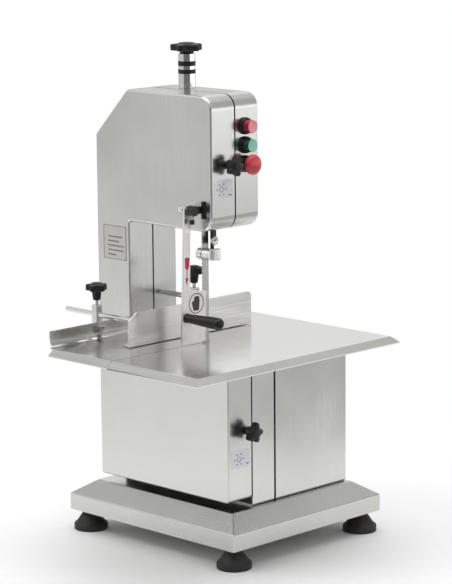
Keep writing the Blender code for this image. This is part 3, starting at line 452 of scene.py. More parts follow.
def casing_corners(bottom, corner_radius):
    return [
        (BODY_LEFT, bottom, 0.004),
        (BODY_RIGHT, bottom, corner_radius),
        (BODY_RIGHT, LOWER_TOP, 0.010),
        (COLUMN_RIGHT, LOWER_TOP, 0.003),
        (COLUMN_RIGHT, HEAD_BOTTOM, 0.003),
        (HEAD_RIGHT, HEAD_BOTTOM, 0.025),
        (HEAD_RIGHT, HEAD_TOP, 0.024),
        (-0.0765, HEAD_TOP, 0.008),
        (BODY_LEFT, 0.699, 0.008),
    ]


def build_casing():
    slot_front = BLADE_FRONT - 0.005
    slot_back = -0.080
    pan("door_skin", casing_corners(DOOR_BOTTOM, 0.008), DOOR_FRONT, DOOR_BACK, True, 0.0036, "door",
        ["door_shell"], cuts=(
            ((0.074, slot_front, HEAD_BOTTOM - 0.003), (0.104, slot_back, HEAD_BOTTOM + 0.004)),
            ((0.076, slot_front, LOWER_TOP - 0.004), (0.098, slot_back, LOWER_TOP + 0.003))))
    pan("frame_skin", casing_corners(FRAME_BOTTOM, 0.004), FRAME_FRONT, FRAME_BACK, False, 0.0025,
        "machine", ["frame_shell"], sheet=0.002)
    # Painted shade: the stainless lip seen under the door is coloured dark for the shadow in that gap.
    slab("frame_lip_painted_shade", (BODY_LEFT + 0.003, FRAME_FRONT + 0.0005, FRAME_BOTTOM + 0.0005),
         (BODY_RIGHT - 0.003, FRAME_FRONT + 0.0025, DOOR_BOTTOM - 0.0002), BLACKENED_STEEL_AND_PAINTED_SHADE, "machine",
         "stainless", bevel=0.0004)
    bm = bmesh.new()
    for wall_x, y, z in LATCHES.values():
        for middle in (z - 0.0091, z + 0.0091):
            block(bm, (wall_x - 0.0059, y - 0.014, middle - 0.0039),
                  (wall_x - 0.0029, FRAME_FRONT + 0.011, middle + 0.0039))
    make("latch_tabs", bm, POLISHED, "machine", "stainless", bevel=0.0005)
    corners = [
        (BODY_LEFT, FRAME_BOTTOM, 0.004), (BODY_RIGHT, FRAME_BOTTOM, 0.004),
        (BODY_RIGHT, LOWER_TOP, 0.006), (BODY_LEFT, LOWER_TOP, 0.006)]
    pan("motor_box_skin", corners, BOX_FRONT, BOX_BACK, False, 0.004, "machine", ["motor_box"],
        cuts=(((-0.085, BOX_BACK - 0.006, 0.160), (0.055, BOX_BACK + 0.004, 0.290)),))
    build_vent_cover()
    build_gland()


def build_vent_cover():
    """A plate with rows of pressed louvres, held by four screws."""
    low, high = layout("motor_vent_cover")
    left, right = -0.075, 0.045
    first, pitch, rows = 0.175, 0.020, 6
    bm = bmesh.new()
    prism(bm, soft_rectangle((low.x, low.z), (high.x, high.z), 0.006), "XZ", low.y, high.y)
    cuts = [((left, low.y - 0.002, first + pitch * row),
             (right, high.y + 0.002, first + 0.005 + pitch * row)) for row in range(rows)]
    make("vent_plate", bm, STAINLESS, "machine", "stainless", ["motor_vent_cover"], cuts=cuts,
         bevel=0.0003, segments=1)
    bm = bmesh.new()
    hood = [(-0.0002, 0.0035), (0.0035, -0.0010), (0.0040, -0.0035), (0.0030, -0.0035),
            (0.0026, -0.0012), (-0.0002, 0.0020)]
    for row in range(rows):
        z = first + 0.005 + pitch * row
        prism(bm, [(high.y + out, z + rise) for out, rise in hood], "YZ", left, right)
    make("vent_louvres", bm, STAINLESS, "machine", "stainless", bevel=0.0003, segments=2)
    bm = bmesh.new()
    for x in (low.x + 0.008, high.x - 0.008):
        for z in (low.z + 0.008, high.z - 0.008):
            screw_head(bm, (x, high.y, z), "+Y", 0.0038)
    make("vent_screws", bm, CHROME, "machine", "chrome")


def build_gland():
    low, high = layout("cable_gland")
    centre = ((low.x + high.x) / 2, BOX_BACK + GAP, (low.z + high.z) / 2)
    dome = soften([(0.0045, 0.022), (0.0085, 0.022), (0.0100, 0.014), (0.0112, 0.0135)], 0.0008)
    spun("gland_body", dome + [(0.0125, 0.013), (0.0125, 0.0), (0.0045, 0.0)], centre, "+Y", 48,
         BLACK_PLASTIC, "machine", "black_plastic", ["cable_gland"], closed=True)
    bm = bmesh.new()
    loft(bm, [(0.0100, 0.0132), (0.0121, 0.0130, 0.10), (0.0121, 0.0020, 0.10), (0.0100, 0.0018)],
         centre, "+Y", 48, lobes=6, closed=True)
    make("gland_nut", bm, BLACK_PLASTIC, "machine", "black_plastic", bevel=0.0002, segments=1)


def screw_head(bm, place, axis, radius):
    """A low domed head with a sunk socket."""
    rings = [(0.0, radius * 0.18), (radius * 0.40, radius * 0.18), (radius * 0.46, radius * 0.62),
             (radius * 0.62, radius * 0.60), (radius * 0.86, radius * 0.42), (radius, radius * 0.10),
             (radius, 0.0), (0.0, 0.0)]
    loft(bm, rings, place, axis, 24)


# ---------------------------------------------------------------- base


def build_base():
    low, high = layout("base_tray")
    skirt_top = 0.0645
    inset = 0.036
    bm = bmesh.new()
    rows = []
    for half_x, half_y, z in ((high.x, high.y, low.z), (high.x, high.y, skirt_top),
                              (high.x - inset, high.y - inset, high.z)):
        rows.append([bm.verts.new((x * half_x, y * half_y, z))
                     for x, y in ((-1, -1), (1, -1), (1, 1), (-1, 1))])
    for first, second in zip(rows, rows[1:]):
        for i in range(4):
            bm.faces.new((first[i - 1], first[i], second[i], second[i - 1]))
    bm.faces.new(rows[-1])
    bmesh.ops.recalc_face_normals(bm, faces=bm.faces)
    rim = [edge for edge in bm.edges if not edge.is_boundary]
    bmesh.ops.bevel(bm, geom=rim, offset=0.0018, segments=4, profile=0.5, affect="EDGES",
                    clamp_overlap=True)
    make("base_skin", bm, BASE_STEEL, "machine", "stainless", ["base_tray"], sheet=0.002, sharp=34)
    pad = soften([
        (0.0, 0.0377), (0.0145, 0.0377), (0.0150, 0.0280), (0.0165, 0.0262), (0.0240, 0.0150),
        (0.0262, 0.0130), (0.0295, 0.0105), (0.0295, 0.0012), (0.0283, 0.0), (0.0, 0.0)], 0.0010)
    for name in ("front_left", "front_right", "rear_left", "rear_right"):
        low, high = layout("foot_" + name)
        centre = ((low.x + high.x) / 2, (low.y + high.y) / 2, 0.0)
        spun("foot_pad_" + name, pad, centre, "+Z", 64, RUBBER, "machine", "black_rubber",
             ["foot_" + name])


# ---------------------------------------------------------------- wheels and blade


def wheel_profile(bore):
    rim = WHEEL_RADIUS
    return [
        (bore, 0.030), (0.0235, 0.030), (0.0240, 0.0295), (0.0260, 0.0130), (0.0275, 0.0125),
        (0.0865, 0.0125), (0.0882, 0.0132), (0.0900, 0.0180), (0.0906, 0.0185), (rim + 0.0020, 0.0185),
        (rim + 0.0025, 0.0180), (rim + 0.0025, 0.0168), (rim + 0.0020, 0.0163), (rim, 0.0160),
        (rim, 0.0006), (rim - 0.0006, 0.0), (0.0906, 0.0), (0.0900, 0.0005), (0.0882, 0.0058),
        (0.0865, 0.0065), (0.0275, 0.0065), (0.0260, 0.0060), (0.0240, 0.0005), (0.0235, 0.0), (bore, 0.0)]


def build_drive():
    for name, bore in (("lower", 0.0104), ("upper", 0.0160)):
        body = name + "_wheel"
        centre_z = WHEEL_Z[name]
        spun(body + "_turned", wheel_profile(bore), (WHEEL_X, BLADE_FRONT, centre_z), "+Y", 96, CAST_ALLOY,
             body, "cast_alloy", [body], closed=True)
        bm = bmesh.new()
        reach = 0.058
        for mark in range(6):
            angle = math.pi * (2 * mark + 1) / 6
            place = (WHEEL_X + reach * math.cos(angle), BLADE_FRONT + 0.0064,
                     centre_z + reach * math.sin(angle))
            loft(bm, [(0.0, -0.0008), (0.0060, -0.0008), (0.0070, 0.0), (0.0, 0.0)], place, "+Y", 32)
        make(body + "_balance_marks", bm, BLACKENED_STEEL_AND_PAINTED_SHADE, body, "cast_alloy")
    build_blade()


def build_blade():
    """A closed band round both wheels, with a row of teeth along its front edge."""
    arc = 60
    straight = 146
    outline = []
    for near, far, first, side in (("upper", "lower", 0.0, -1.0), ("lower", "upper", math.pi, 1.0)):
        near_z = WHEEL_Z[near]
        for step in range(arc + 1):
            angle = first + math.pi * step / arc
            outline.append((math.cos(angle), math.sin(angle), near_z))
        for step in range(1, straight):
            outline.append((side, 0.0, near_z + (WHEEL_Z[far] - near_z) * step / straight))
    inner = WHEEL_RADIUS + GAP
    outer = inner + 0.0006
    tooth_depth = 0.0022
    bm = bmesh.new()
    rows = []
    for i, (c, s, centre_z) in enumerate(outline):
        front = BLADE_FRONT + (0.0 if i % 2 == 0 else tooth_depth)
        rows.append([bm.verts.new((WHEEL_X + radius * c, y, centre_z + radius * s)) for radius, y in (
            (inner, front), (outer, front), (outer, BLADE_BACK), (inner, BLADE_BACK))])
    for i in range(len(rows)):
        for k in range(4):
            bm.faces.new((rows[i - 1][k - 1], rows[i - 1][k], rows[i][k], rows[i][k - 1]))
    bmesh.ops.recalc_face_normals(bm, faces=bm.faces)
    make("blade_toothed", bm, BLADE_STEEL, "machine", "blade_steel", ["saw_blade"])


# ---------------------------------------------------------------- knobs


def star_rings(radius, hub_length, height, dome, foot, hub):
    """A tapered hub that flares into a lobed head with soft edges and a low dome."""
    top = hub_length + height
    lobing = 0.34
    rings = [(0.0, 0.0), (foot - 0.0006, 0.0), (foot, 0.0006)]
    rings += [(foot + (hub - foot) * t, hub_length * t) for t in (0.25, 0.5, 0.75, 0.92)]
    rings += [
        (hub * 1.15, hub_length - 0.0002, 0.05), (radius * 0.75, hub_length + 0.0002, lobing * 0.7),
        (radius * 0.93, hub_length + 0.0003, lobing), (radius * 0.985, hub_length + 0.0011, lobing),
        (radius, hub_length + 0.0025, lobing), (radius, top - 0.0030, lobing),
        (radius * 0.985, top - 0.0014, lobing), (radius * 0.93, top - 0.0004, lobing),
        (radius * 0.80, top, lobing * 0.85), (radius * 0.55, top + dome * 0.25, lobing * 0.35),
        (radius * 0.45, top + dome * 0.75), (radius * 0.30, top + dome * 0.95), (0.0, top + dome)]
    return rings


def knob(name, node, foot, axis, radius, hub_length, height, dome=0.003, stud=None, foot_radius=0.0063,
         hub=0.0085):
    """A star knob in the place of a node that has a body of the same name; stud is (radius, length)."""
    spun(name, star_rings(radius, hub_length, height, dome, foot_radius, hub), foot, axis, 120,
         BLACK_PLASTIC, node, "black_plastic", [node], sharp=50)
    if stud is None:
        return
    stud_radius, length = stud
    turn_count = int(length / 0.0010)
    profile = [(0.0, 0.0005), (stud_radius, 0.0005)]
    for turn in range(turn_count):
        low = length * turn / turn_count
        profile += [(stud_radius, -low - 0.0002), (stud_radius - 0.0005, -low - 0.0005),
                    (stud_radius, -low - 0.0008)]
    profile += [(stud_radius, -length), (0.0, -length)]
    spun(name + "_stud", profile, foot, axis, 24, CHROME, node, "chrome")


def build_knobs():
    for side, (wall_x, y, z) in LATCHES.items():
        knob(side + "_latch_star", side + "_door_knob", (wall_x + 0.0006, y, z), "+X", 0.0175, 0.0125,
             0.0120, stud=(0.0040, 0.0068))
    for side, foot_z, stud_length in (("front", 0.4305, 0.0195), ("rear", 0.4521, 0.0200)):
        knob(side + "_clamp_star", side + "_clamp_knob", (*CLAMPS[side], foot_z), "+Z", 0.0187, 0.0160,
             0.0110, stud=(0.0030, stud_length))
    knob("tension_star", "tension_knob", (POST_X, POST_Y, 0.8386), "+Z", 0.0280, 0.0040, 0.0115,
         dome=0.0029, foot_radius=0.0115, hub=0.0125)


def build_tension_post():
    radius = 0.01415
    bore = 0.0110
    height = 0.058
    spun("tension_sleeve", [(bore, height), (radius - 0.0006, height), (radius, height - 0.0005),
                            (radius, 0.0), (bore, 0.0)], (POST_X, POST_Y, HEAD_TOP + GAP), "+Z", 96,
         CHROME, "machine", "chrome", ["tension_tube"], closed=True, sharp=40)
    bm = bmesh.new()
    reach = radius + 0.0007
    for low, high in ((0.8045, 0.8117), (0.8174, 0.8256)):
        loft(bm, [(radius - 0.0005, low), (reach - 0.0004, low), (reach, low + 0.0006),
                  (reach, high - 0.0006), (reach - 0.0004, high), (radius - 0.0005, high)],
             (POST_X, POST_Y, 0.0), "+Z", 64, closed=True)
    make("tension_bands", bm, BLACK_PLASTIC, "machine", "black_plastic")


# ---------------------------------------------------------------- buttons


def build_buttons():
    """Caps start above the wall by more than their travel, so they stay clear of it when pressed."""
    build_push_button("stop", 0.7265, 0.0190, (STOP_SHADED_SIDE, STOP_LIT_FACE))
    build_push_button("start", 0.6950, 0.0185, (START_SHADED_SIDE, START_LIT_FACE))
    place = (HEAD_RIGHT + GAP, BUTTON_Y, 0.6635)
    build_bezel("emergency", place, 0.0050)
    spun("cap_emergency", [
        (0.0, 0.0265), (0.0060, 0.0263), (0.0100, 0.0257), (0.0130, 0.0245), (0.0152, 0.0230),
        (0.0165, 0.0212), (0.0170, 0.0190), (0.0169, 0.0168), (0.0160, 0.0152), (0.0110, 0.0146),
        (0.0100, 0.0120), (0.0098, 0.0064), (0.0, 0.0064)], place, "+X", 72, RED_PLASTIC,
         "emergency_button", "red_plastic", ["button_emergency"], sharp=50)
    spun("emergency_collar", [
        (0.0112, 0.0092), (0.0128, 0.0092), (0.0134, 0.0086), (0.0134, 0.0050), (0.0112, 0.0050)],
         place, "+X", 64, BLACK_PLASTIC, "machine", "black_plastic", closed=True)


def build_bezel(name, place, height):
    spun("ring_" + name, [
        (0.0114, height - 0.0006), (0.0118, height), (0.0130, height), (0.0134, height - 0.0004),
        (0.0140, height * 0.55), (0.0142, height * 0.5), (0.0142, 0.0004), (0.0138, 0.0), (0.0114, 0.0)],
         place, "+X", 64, BLACK_PLASTIC, "machine", "black_plastic", ["bezel_" + name], closed=True)


def build_push_button(name, z, top, materials):
    place = (HEAD_RIGHT + GAP, BUTTON_Y, z)
    build_bezel(name, place, 0.0062)
    bm = bmesh.new()
    rings = [(0.0, top - 0.0006), (0.0080, top - 0.0006), (0.0094, top - 0.0003), (0.0101, top),
             (0.0107, top - 0.0003), (0.0110, top - 0.0011), (0.0110, 0.0052), (0.0, 0.0052)]
    # The flat end takes the painted lit colour and the rim the painted shaded colour.
    for face in loft(bm, rings, place, "+X", 72):
        near = min(v.co.x for v in face.verts)
        face.material_index = 1 if near > place[0] + top - 0.0009 else 0
    make("cap_" + name, bm, materials, name + "_button", name + "_plastic", ["button_" + name], sharp=50)


# ---------------------------------------------------------------- blade guide


def build_guides():
    low, high = layout("guide_post")
    width = 0.0050
    slab("guide_bar", low, (low.x + width, low.y + width, high.z), BLACKENED_STEEL_AND_PAINTED_SHADE, "blade_guide",
         "dark_steel", ["guide_post"], bevel=0.0008)
    slab("guide_clamp", (low.x + width, low.y - 0.0045, 0.5310), (high.x, high.y - 0.0030, 0.5560),
         BLACKENED_STEEL_AND_PAINTED_SHADE, "blade_guide", "dark_steel", bevel=0.0022, segments=4)
    low = layout("upper_guide_block")[0]
    right = 0.1063
    bm = bmesh.new()
    block(bm, (0.0680, -0.1172, 0.5060), (right, low.y + 0.0024, 0.5240))
    block(bm, (0.0963, -0.1260, 0.5050), (right, -0.1090, 0.5245))
    make("guide_yoke", bm, PUSHER_STEEL, "blade_guide", "dark_steel", ["upper_guide_block"],
         bevel=0.0028, segments=5)
    radius = 0.0094
    left = [(0.0, 0.0126), (radius, 0.0126), (radius, 0.0010), (radius - 0.0010, 0.0), (0.0, 0.0)]
    spun("guide_roller_left", soften(left, 0.0006), (0.0712, ROLLER_Y, ROLLER_Z), "+X", 64, POLISHED,
         "blade_guide", "polished_steel", ["guide_pin_left"])
    bm = bmesh.new()
    rod(bm, (layout("guide_pin_right")[0].x, ROLLER_Y, ROLLER_Z), "+X", 0.0155, radius, 64, 0.0008)
    make("guide_roller_right", bm, PUSHER_STEEL, "blade_guide", "polished_steel", ["guide_pin_right"])
    spun("guide_disc_screw", [
        (0.0, 0.0012), (0.0026, 0.0012), (0.0030, 0.0034), (0.0044, 0.0036), (0.0050, 0.0028),
        (0.0055, 0.0028), (0.0060, 0.0037), (0.0070, 0.0037), (0.0076, 0.0030), (0.0076, 0.0),
        (0.0, 0.0)], (layout("guide_screw")[0].x, -0.1160, 0.5375), "+X", 64, POLISHED, "blade_guide",
         "polished_steel", ["guide_screw"])


# ---------------------------------------------------------------- table


def build_table():
    """A flat top with a tall fold at the left and a sloping skirt round the other three sides."""
    low, high = layout("table_top")
    left = low.x
    out = 0.0115
    drop = 0.010
    flange = 0.027
    bend = 0.014
    steps = 8
    bm = bmesh.new()
    # Section across the left fold, from the flange's lip down and into the flat top.
    section = [(left, TABLE_TOP + flange)]
    for step in range(steps + 1):
        angle = math.pi / 2 * step / steps
        section.append((left + bend * (1 - math.cos(angle)), TABLE_TOP + bend * (1 - math.sin(angle))))
    down = []
    for y in (low.y + out, high.y - out):
        down.append([bm.verts.new((x, y, z)) for x, z in section])
    for i in range(len(section) - 1):
        bm.faces.new((down[0][i], down[0][i + 1], down[1][i + 1], down[1][i]))
    last = [row[-1] for row in down]
    corner_front = bm.verts.new((high.x - out, low.y + out, TABLE_TOP))
    corner_back = bm.verts.new((high.x - out, high.y - out, TABLE_TOP))
    bm.faces.new((last[0], corner_front, corner_back, last[1]))
    edge_front = bm.verts.new((high.x, low.y, TABLE_TOP - drop))
    edge_back = bm.verts.new((high.x, high.y, TABLE_TOP - drop))
    bm.faces.new((corner_front, edge_front, edge_back, corner_back))
    start_front = bm.verts.new((last[0].co.x, low.y, TABLE_TOP - drop))
    start_back = bm.verts.new((last[1].co.x, high.y, TABLE_TOP - drop))
    bm.faces.new((last[0], start_front, edge_front, corner_front))
    bm.faces.new((last[1], corner_back, edge_back, start_back))
    bmesh.ops.recalc_face_normals(bm, faces=bm.faces)
    if max(bm.faces, key=lambda face: face.calc_area()).normal.z < 0:
        bmesh.ops.reverse_faces(bm, faces=bm.faces)
    # The level folds are eased; the skirt's corners stay sharp.
    brow = [edge for edge in bm.edges
            if not edge.is_boundary and edge.calc_face_angle() > math.radians(25)
            and abs(edge.verts[0].co.z - edge.verts[1].co.z) < 0.001]
    bmesh.ops.bevel(bm, geom=brow, offset=0.0007, segments=3, profile=0.5, affect="EDGES",
                    clamp_overlap=True)
    in_front = low.y - 0.010
    blade_slot = ((BLADE_X - 0.0012, in_front, 0.340), (BLADE_X + 0.0012, -0.112, 0.372))
    flange_end = ((left - 0.010, in_front, TABLE_TOP + 0.0006),
                  (left + 0.006, low.y + 0.0175, TABLE_TOP + 0.040))
    make("table_sheet", bm, TABLE_STEEL, "machine", "polished_steel", ["table_top"], sheet=0.002,
         sharp=34, cuts=(blade_slot, flange_end))


# ---------------------------------------------------------------- fence


def build_fence():
    low, high = layout("fence")
    right = high.x
    thick = 0.0025
    bm = bmesh.new()
    outline = rounded([(low.y, low.z, 0.0008), (high.y, low.z, 0.0008), (high.y, high.z, 0.009),
                       (low.y + 0.018, high.z, 0.004), (low.y, high.z - 0.012, 0.004)])
    prism(bm, outline, "YZ", right - thick, right)
    make("fence_plate", bm, FENCE_STEEL, "fence", "polished_steel", ["fence"], bevel=0.0006, segments=3,
         cuts=(((right - 0.010, -0.0885, 0.4215), (right + 0.010, -0.0775, 0.4370)),))
    slab("fence_foot", (low.x, low.y + 0.004, low.z),
         (right - thick + 0.0004, high.y - 0.004, low.z + 0.0025), POLISHED, "fence", "polished_steel",
         bevel=0.0005)
    for name, body in (("front_fence_rod", "fence"), ("rear_fence_rod", "machine")):
        low, high = layout(name)
        bm = bmesh.new()
        place = (low.x, (low.y + high.y) / 2, (low.z + high.z) / 2)
        rod(bm, place, "+X", high.x - low.x, (high.z - low.z) / 2, 40, 0.0010)
        make(name + "_ground", bm, POLISHED, body, "polished_steel", [name])
    half = 0.0065
    for name, body, reach, bottom, top in (("front", "machine", -0.0633, 0.3735, 0.3880),
                                           ("rear", "fence", 0.0282, 0.3760, 0.4080)):
        x, y = CLAMPS[name]
        low, high = layout(name + "_clamp_block")
        slab(name + "_clamp_body", (x - half, y - half, low.z), (x + half, y + half, high.z), POLISHED,
             body, "polished_steel", [name + "_clamp_block"], bevel=0.0016, segments=4)
        slab(name + "_clamp_bridge", (x + half - 0.001, y - half + 0.001, bottom),
             (reach, y + half - 0.001, top), POLISHED, body, "polished_steel", bevel=0.0010)


# ---------------------------------------------------------------- pusher


def leaning(y, z):
    """The pusher hangs a little forward of upright."""
    return y - PUSHER_LEAN * (PUSHER_TOP - z) / 0.234


def build_pusher():
    low, high = layout("pusher_arm")
    front = PUSHER_FRONT
    right = high.x
    bottom = low.z
    wide = front + 0.0535
    narrow = front + 0.0138
    web = 0.002
    bm = bmesh.new()
    teeth = []
    for tooth in range(12):
        z = bottom + 0.006 + 0.0060 * tooth
        teeth += [(wide, z, 0.0), (wide - 0.0018, z + 0.0006, 0.0), (wide - 0.0018, z + 0.0030, 0.0),
                  (wide, z + 0.0036, 0.0)]
    corners = [(front, bottom, 0.001), (wide, bottom, 0.0015)] + teeth + [
        (wide, 0.4535, 0.002), (narrow + 0.0012, 0.460, 0.005), (narrow, 0.590, 0.003),
        (narrow, PUSHER_TOP, 0.006), (front, PUSHER_TOP, 0.006)]
    corners = [(leaning(y, z), z, radius) for y, z, radius in corners]
    prism(bm, rounded(corners, 6), "YZ", right - web, right)
    eye = ((right - 0.006, PIVOT_Y - 0.0042, PIVOT_Z - 0.0042),
           (right + 0.006, PIVOT_Y + 0.0042, PIVOT_Z + 0.0042))
    make("pusher_plate", bm, PUSHER_STEEL, "pusher", "polished_steel", ["pusher_arm"], bevel=0.0004,
         segments=2, cuts=(eye,))
    bm = bmesh.new()
    fold_front = front - 0.0004
    flange = [(fold_front, bottom), (front + web, bottom), (front + web, 0.5980), (fold_front, 0.5980)]
    prism(bm, [(leaning(y, z), z) for y, z in flange], "YZ", low.x, right - 0.0005)
    make("pusher_flange", bm, PUSHER_STEEL, "pusher", "polished_steel", bevel=0.0006)
    build_grip(right)
    build_pivot()


def build_grip(plate_x):
    """A tapered black grip with fine ribs round it."""
    rings = [(0.0, 0.0), (0.0070, 0.0), (0.0078, 0.0006), (0.0080, 0.0030), (0.0070, 0.0040)]
    for step in range(21):
        h = 0.0060 + 0.0030 * step
        r = 0.0070 + 0.0026 * min(1.0, h / 0.060)
        crest, root = r + 0.00015, r - 0.0003
        rings += [(crest, h), (crest, h + 0.0018), (root, h + 0.0022), (root, h + 0.0027)]
    rings += [(0.0099, 0.0700), (0.0100, 0.0735), (0.0095, 0.0770), (0.0082, 0.0800), (0.0060, 0.0818),
              (0.0032, 0.0825), (0.0, 0.0825)]
    spun("pusher_grip_ribbed", rings, (plate_x + GAP, leaning(PUSHER_FRONT, GRIP_Z) + 0.007, GRIP_Z),
         "+X", 64, BLACK_PLASTIC, "pusher", "black_plastic", ["pusher_grip"], sharp=50)


def build_pivot():
    """The pin, its dark boss on the door, and a stop screw with its nut under the boss; the boss, nut and
    base plate are polished steel coloured dark as painted shade.
    """
    start = layout("pusher_pin")[0].x
    low, high = layout("pusher_bracket")
    pin = [(0.0, 0.0330), (0.0042, 0.0330), (0.0042, 0.0100), (0.0068, 0.0090), (0.0068, 0.0005),
           (0.0060, 0.0), (0.0, 0.0)]
    spun("pusher_pivot_pin", soften(pin, 0.0005), (start, PIVOT_Y, PIVOT_Z), "+X", 64, POLISHED, "door",
         "polished_steel", ["pusher_pin"])
    # Painted shade: the boss and its ear are polished steel coloured dark for the shade they sit in.
    bm = bmesh.new()
    loft(bm, [(0.0044, 0.0), (0.0080, 0.0), (0.0088, 0.0010), (0.0088, 0.0125), (0.0080, 0.0138),
              (0.0, 0.0138)], (start + 0.0212, PIVOT_Y, PIVOT_Z), "+X", 48)
    block(bm, (start + 0.0250, PIVOT_Y + 0.004, PIVOT_Z - 0.006),
          (start + 0.0310, high.y - 0.0020, PIVOT_Z + 0.006))
    make("pusher_boss_painted_shade", bm, BLACKENED_STEEL_AND_PAINTED_SHADE, "door", "polished_steel", ["pusher_bracket"], bevel=0.0005)
    stop_x = start + 0.0265
    spun("pusher_stop_screw", [(0.0, 0.0), (0.0030, 0.0), (0.0030, 0.0075), (0.0, 0.0075)],
         (stop_x, PIVOT_Y, 0.5780), "+Z", 24, POLISHED, "door", "polished_steel", bevel=0.0003)
    # Painted shade: the nut under the boss is coloured dark.
    spun("pusher_stop_nut_painted_shade", [(0.0, 0.0), (0.0042, 0.0), (0.0044, 0.0006), (0.0044, 0.0070), (0.0, 0.0075)],
         (stop_x, PIVOT_Y, 0.5705), "+Z", 6, BLACKENED_STEEL_AND_PAINTED_SHADE, "door", "polished_steel", bevel=0.0003)
    # Painted shade: the plate on the door is coloured dark for the shade it stands in.
    slab("pusher_base_plate_painted_shade", (low.x, high.y - 0.0025, low.z), (high.x - 0.0030, high.y, high.z),
         BLACKENED_STEEL_AND_PAINTED_SHADE, "door", "polished_steel", bevel=0.0006)


# ---------------------------------------------------------------- labels


def flat_shape(bm, outline, plane, level, depth):
    prism(bm, outline, plane, level, level + depth)


def bar(bm, low, high, plane, level, depth):
    flat_shape(bm, rectangle(low, high), plane, level, depth)


def ring_shape(bm, centre, outer, inner, plane, level, depth, steps=48):
    spot = PLANES[plane]
    made = []
    for radius in (outer, inner):
        for t in (level, level + depth):
            made.append([bm.verts.new(spot(centre[0] + radius * math.cos(2 * math.pi * i / steps),
                                           centre[1] + radius * math.sin(2 * math.pi * i / steps), t))
                         for i in range(steps)])
    order = (made[0], made[1], made[3], made[2])
    faces = []
    for k in range(4):
        for i in range(steps):
            faces.append(bm.faces.new((order[k - 1][i - 1], order[k][i - 1], order[k][i], order[k - 1][i])))
    bmesh.ops.recalc_face_normals(bm, faces=faces)


def frame_shape(bm, low, high, line, plane, level, depth):
    for a0, b0, a1, b1 in (
            (low[0], low[1], high[0], low[1] + line), (low[0], high[1] - line, high[0], high[1]),
            (low[0], low[1] + line, low[0] + line, high[1] - line),
            (high[0] - line, low[1] + line, high[0], high[1] - line)):
        bar(bm, (a0, b0), (a1, b1), plane, level, depth)


def build_labels():
    build_column_plate()
    for name, x, low, high in (("upper", HEAD_RIGHT, (-0.142, 0.610), (-0.099, 0.642)),
                               ("lower", BODY_RIGHT, (-0.141, 0.161), (-0.098, 0.191))):
        build_door_label(name, x, low, high)
    build_pusher_labels()


def build_column_plate():
    """A thin frame and a few blank bars."""
    low, high = (-0.1395, 0.4865), (-0.0835, 0.5445)
    bm = bmesh.new()
    flat_shape(bm, soft_rectangle(low, high, 0.001, 3), "XZ", DOOR_FRONT - 0.0003, 0.0004)
    make("column_plate", bm, LABEL_PLATE, "door", None)
    bm = bmesh.new()
    marks = ("XZ", DOOR_FRONT - 0.00045, 0.0003)
    frame_shape(bm, low, high, 0.0009, *marks)
    for row, (start, end) in enumerate(((-0.128, -0.092), (-0.128, -0.101), (-0.130, -0.089),
                                        (-0.128, -0.090), (-0.128, -0.108))):
        z = 0.5245 - 0.0078 * row
        bar(bm, (start, z), (end, z + 0.0022), *marks)
    make("column_plate_marks", bm, LABEL_GREY, "door", None)


def build_door_label(name, x, low, high):
    """A small film on the door's side wall: a ring of dots and a short bar."""
    bm = bmesh.new()
    flat_shape(bm, soft_rectangle(low, high, 0.0015, 3), "YZ", x - 0.0001, 0.0003)
    make("door_label_" + name, bm, LABEL_FILM, "door", None)
    bm = bmesh.new()
    marks = ("YZ", x + 0.00015, 0.0002)
    centre = ((low[0] + high[0]) / 2 - 0.004, (low[1] + high[1]) / 2)
    half = 0.0013
    for dot in range(6):
        angle = math.pi * dot / 3
        y = centre[0] + 0.0098 * math.cos(angle)
        z = centre[1] + 0.0098 * math.sin(angle)
        bar(bm, (y - half, z - half), (y + half, z + half), *marks)
    ring_shape(bm, centre, 0.0046, 0.0036, *marks)
    bar(bm, (high[0] - 0.0095, low[1] + 0.0045), (high[0] - 0.003, low[1] + 0.0065), *marks)
    make("door_label_marks_" + name, bm, LABEL_BLUE, "door", None)


def build_pusher_labels():
    """A pale film, a red arrow that points down, and a round sign with a plain mitten."""
    right = layout("pusher_arm")[1].x
    film = [(0.0012, 0.3745, 0.001), (0.0515, 0.3745, 0.001), (0.0520, 0.4520, 0.001),
            (0.0140, 0.4590, 0.004), (0.0130, 0.5560, 0.001), (0.0012, 0.5560, 0.001)]
    film = [(leaning(PUSHER_FRONT + y, z), z, radius) for y, z, radius in film]
    film_depth = 0.0001
    bm = bmesh.new()
    flat_shape(bm, rounded(film, 3), "YZ", right, film_depth)
    make("pusher_film", bm, PUSHER_FILM, "pusher", None)
    ink = ("YZ", right + film_depth, 0.0002)
    middle = PUSHER_FRONT + 0.0072
    head = [(-0.0052, 0.5145, 0.0008), (0.0052, 0.5145, 0.0008), (0.0046, 0.4985, 0.001),
            (0.0014, 0.4940, 0.0004), (-0.0014, 0.4940, 0.0004), (-0.0046, 0.4985, 0.001)]
    head = [(leaning(middle + y, z), z, radius) for y, z, radius in head]
    stem = [(-0.0008, 0.4790), (0.0008, 0.4790), (0.0008, 0.4945), (-0.0008, 0.4945)]
    tip = [(-0.0032, 0.4805), (0.0, 0.4680), (0.0032, 0.4805)]
    bm = bmesh.new()
    flat_shape(bm, rounded(head, 3)[::-1], *ink)
    for outline in (stem, tip):
        flat_shape(bm, [(leaning(middle + y, z), z) for y, z in outline], *ink)
    make("pusher_arrow", bm, LABEL_RED, "pusher", None)
    bm = bmesh.new()
    sign_z = 0.4355
    centre = (leaning(PUSHER_FRONT, sign_z) + 0.0300, sign_z)
    ring_shape(bm, centre, 0.0172, 0.0158, *ink)
    mitten = [(-0.0060, -0.0120, 0.002), (0.0060, -0.0120, 0.002), (0.0074, 0.0030, 0.002),
              (0.0064, 0.0120, 0.004), (-0.0050, 0.0120, 0.004), (-0.0056, 0.0030, 0.001),
              (-0.0098, 0.0065, 0.002), (-0.0104, 0.0010, 0.002)]
    mitten = [(centre[0] + y, centre[1] + z, radius) for y, z, radius in mitten]
    flat_shape(bm, rounded(mitten, 5), *ink)
    make("pusher_sign", bm, LABEL_DARK, "pusher", None)


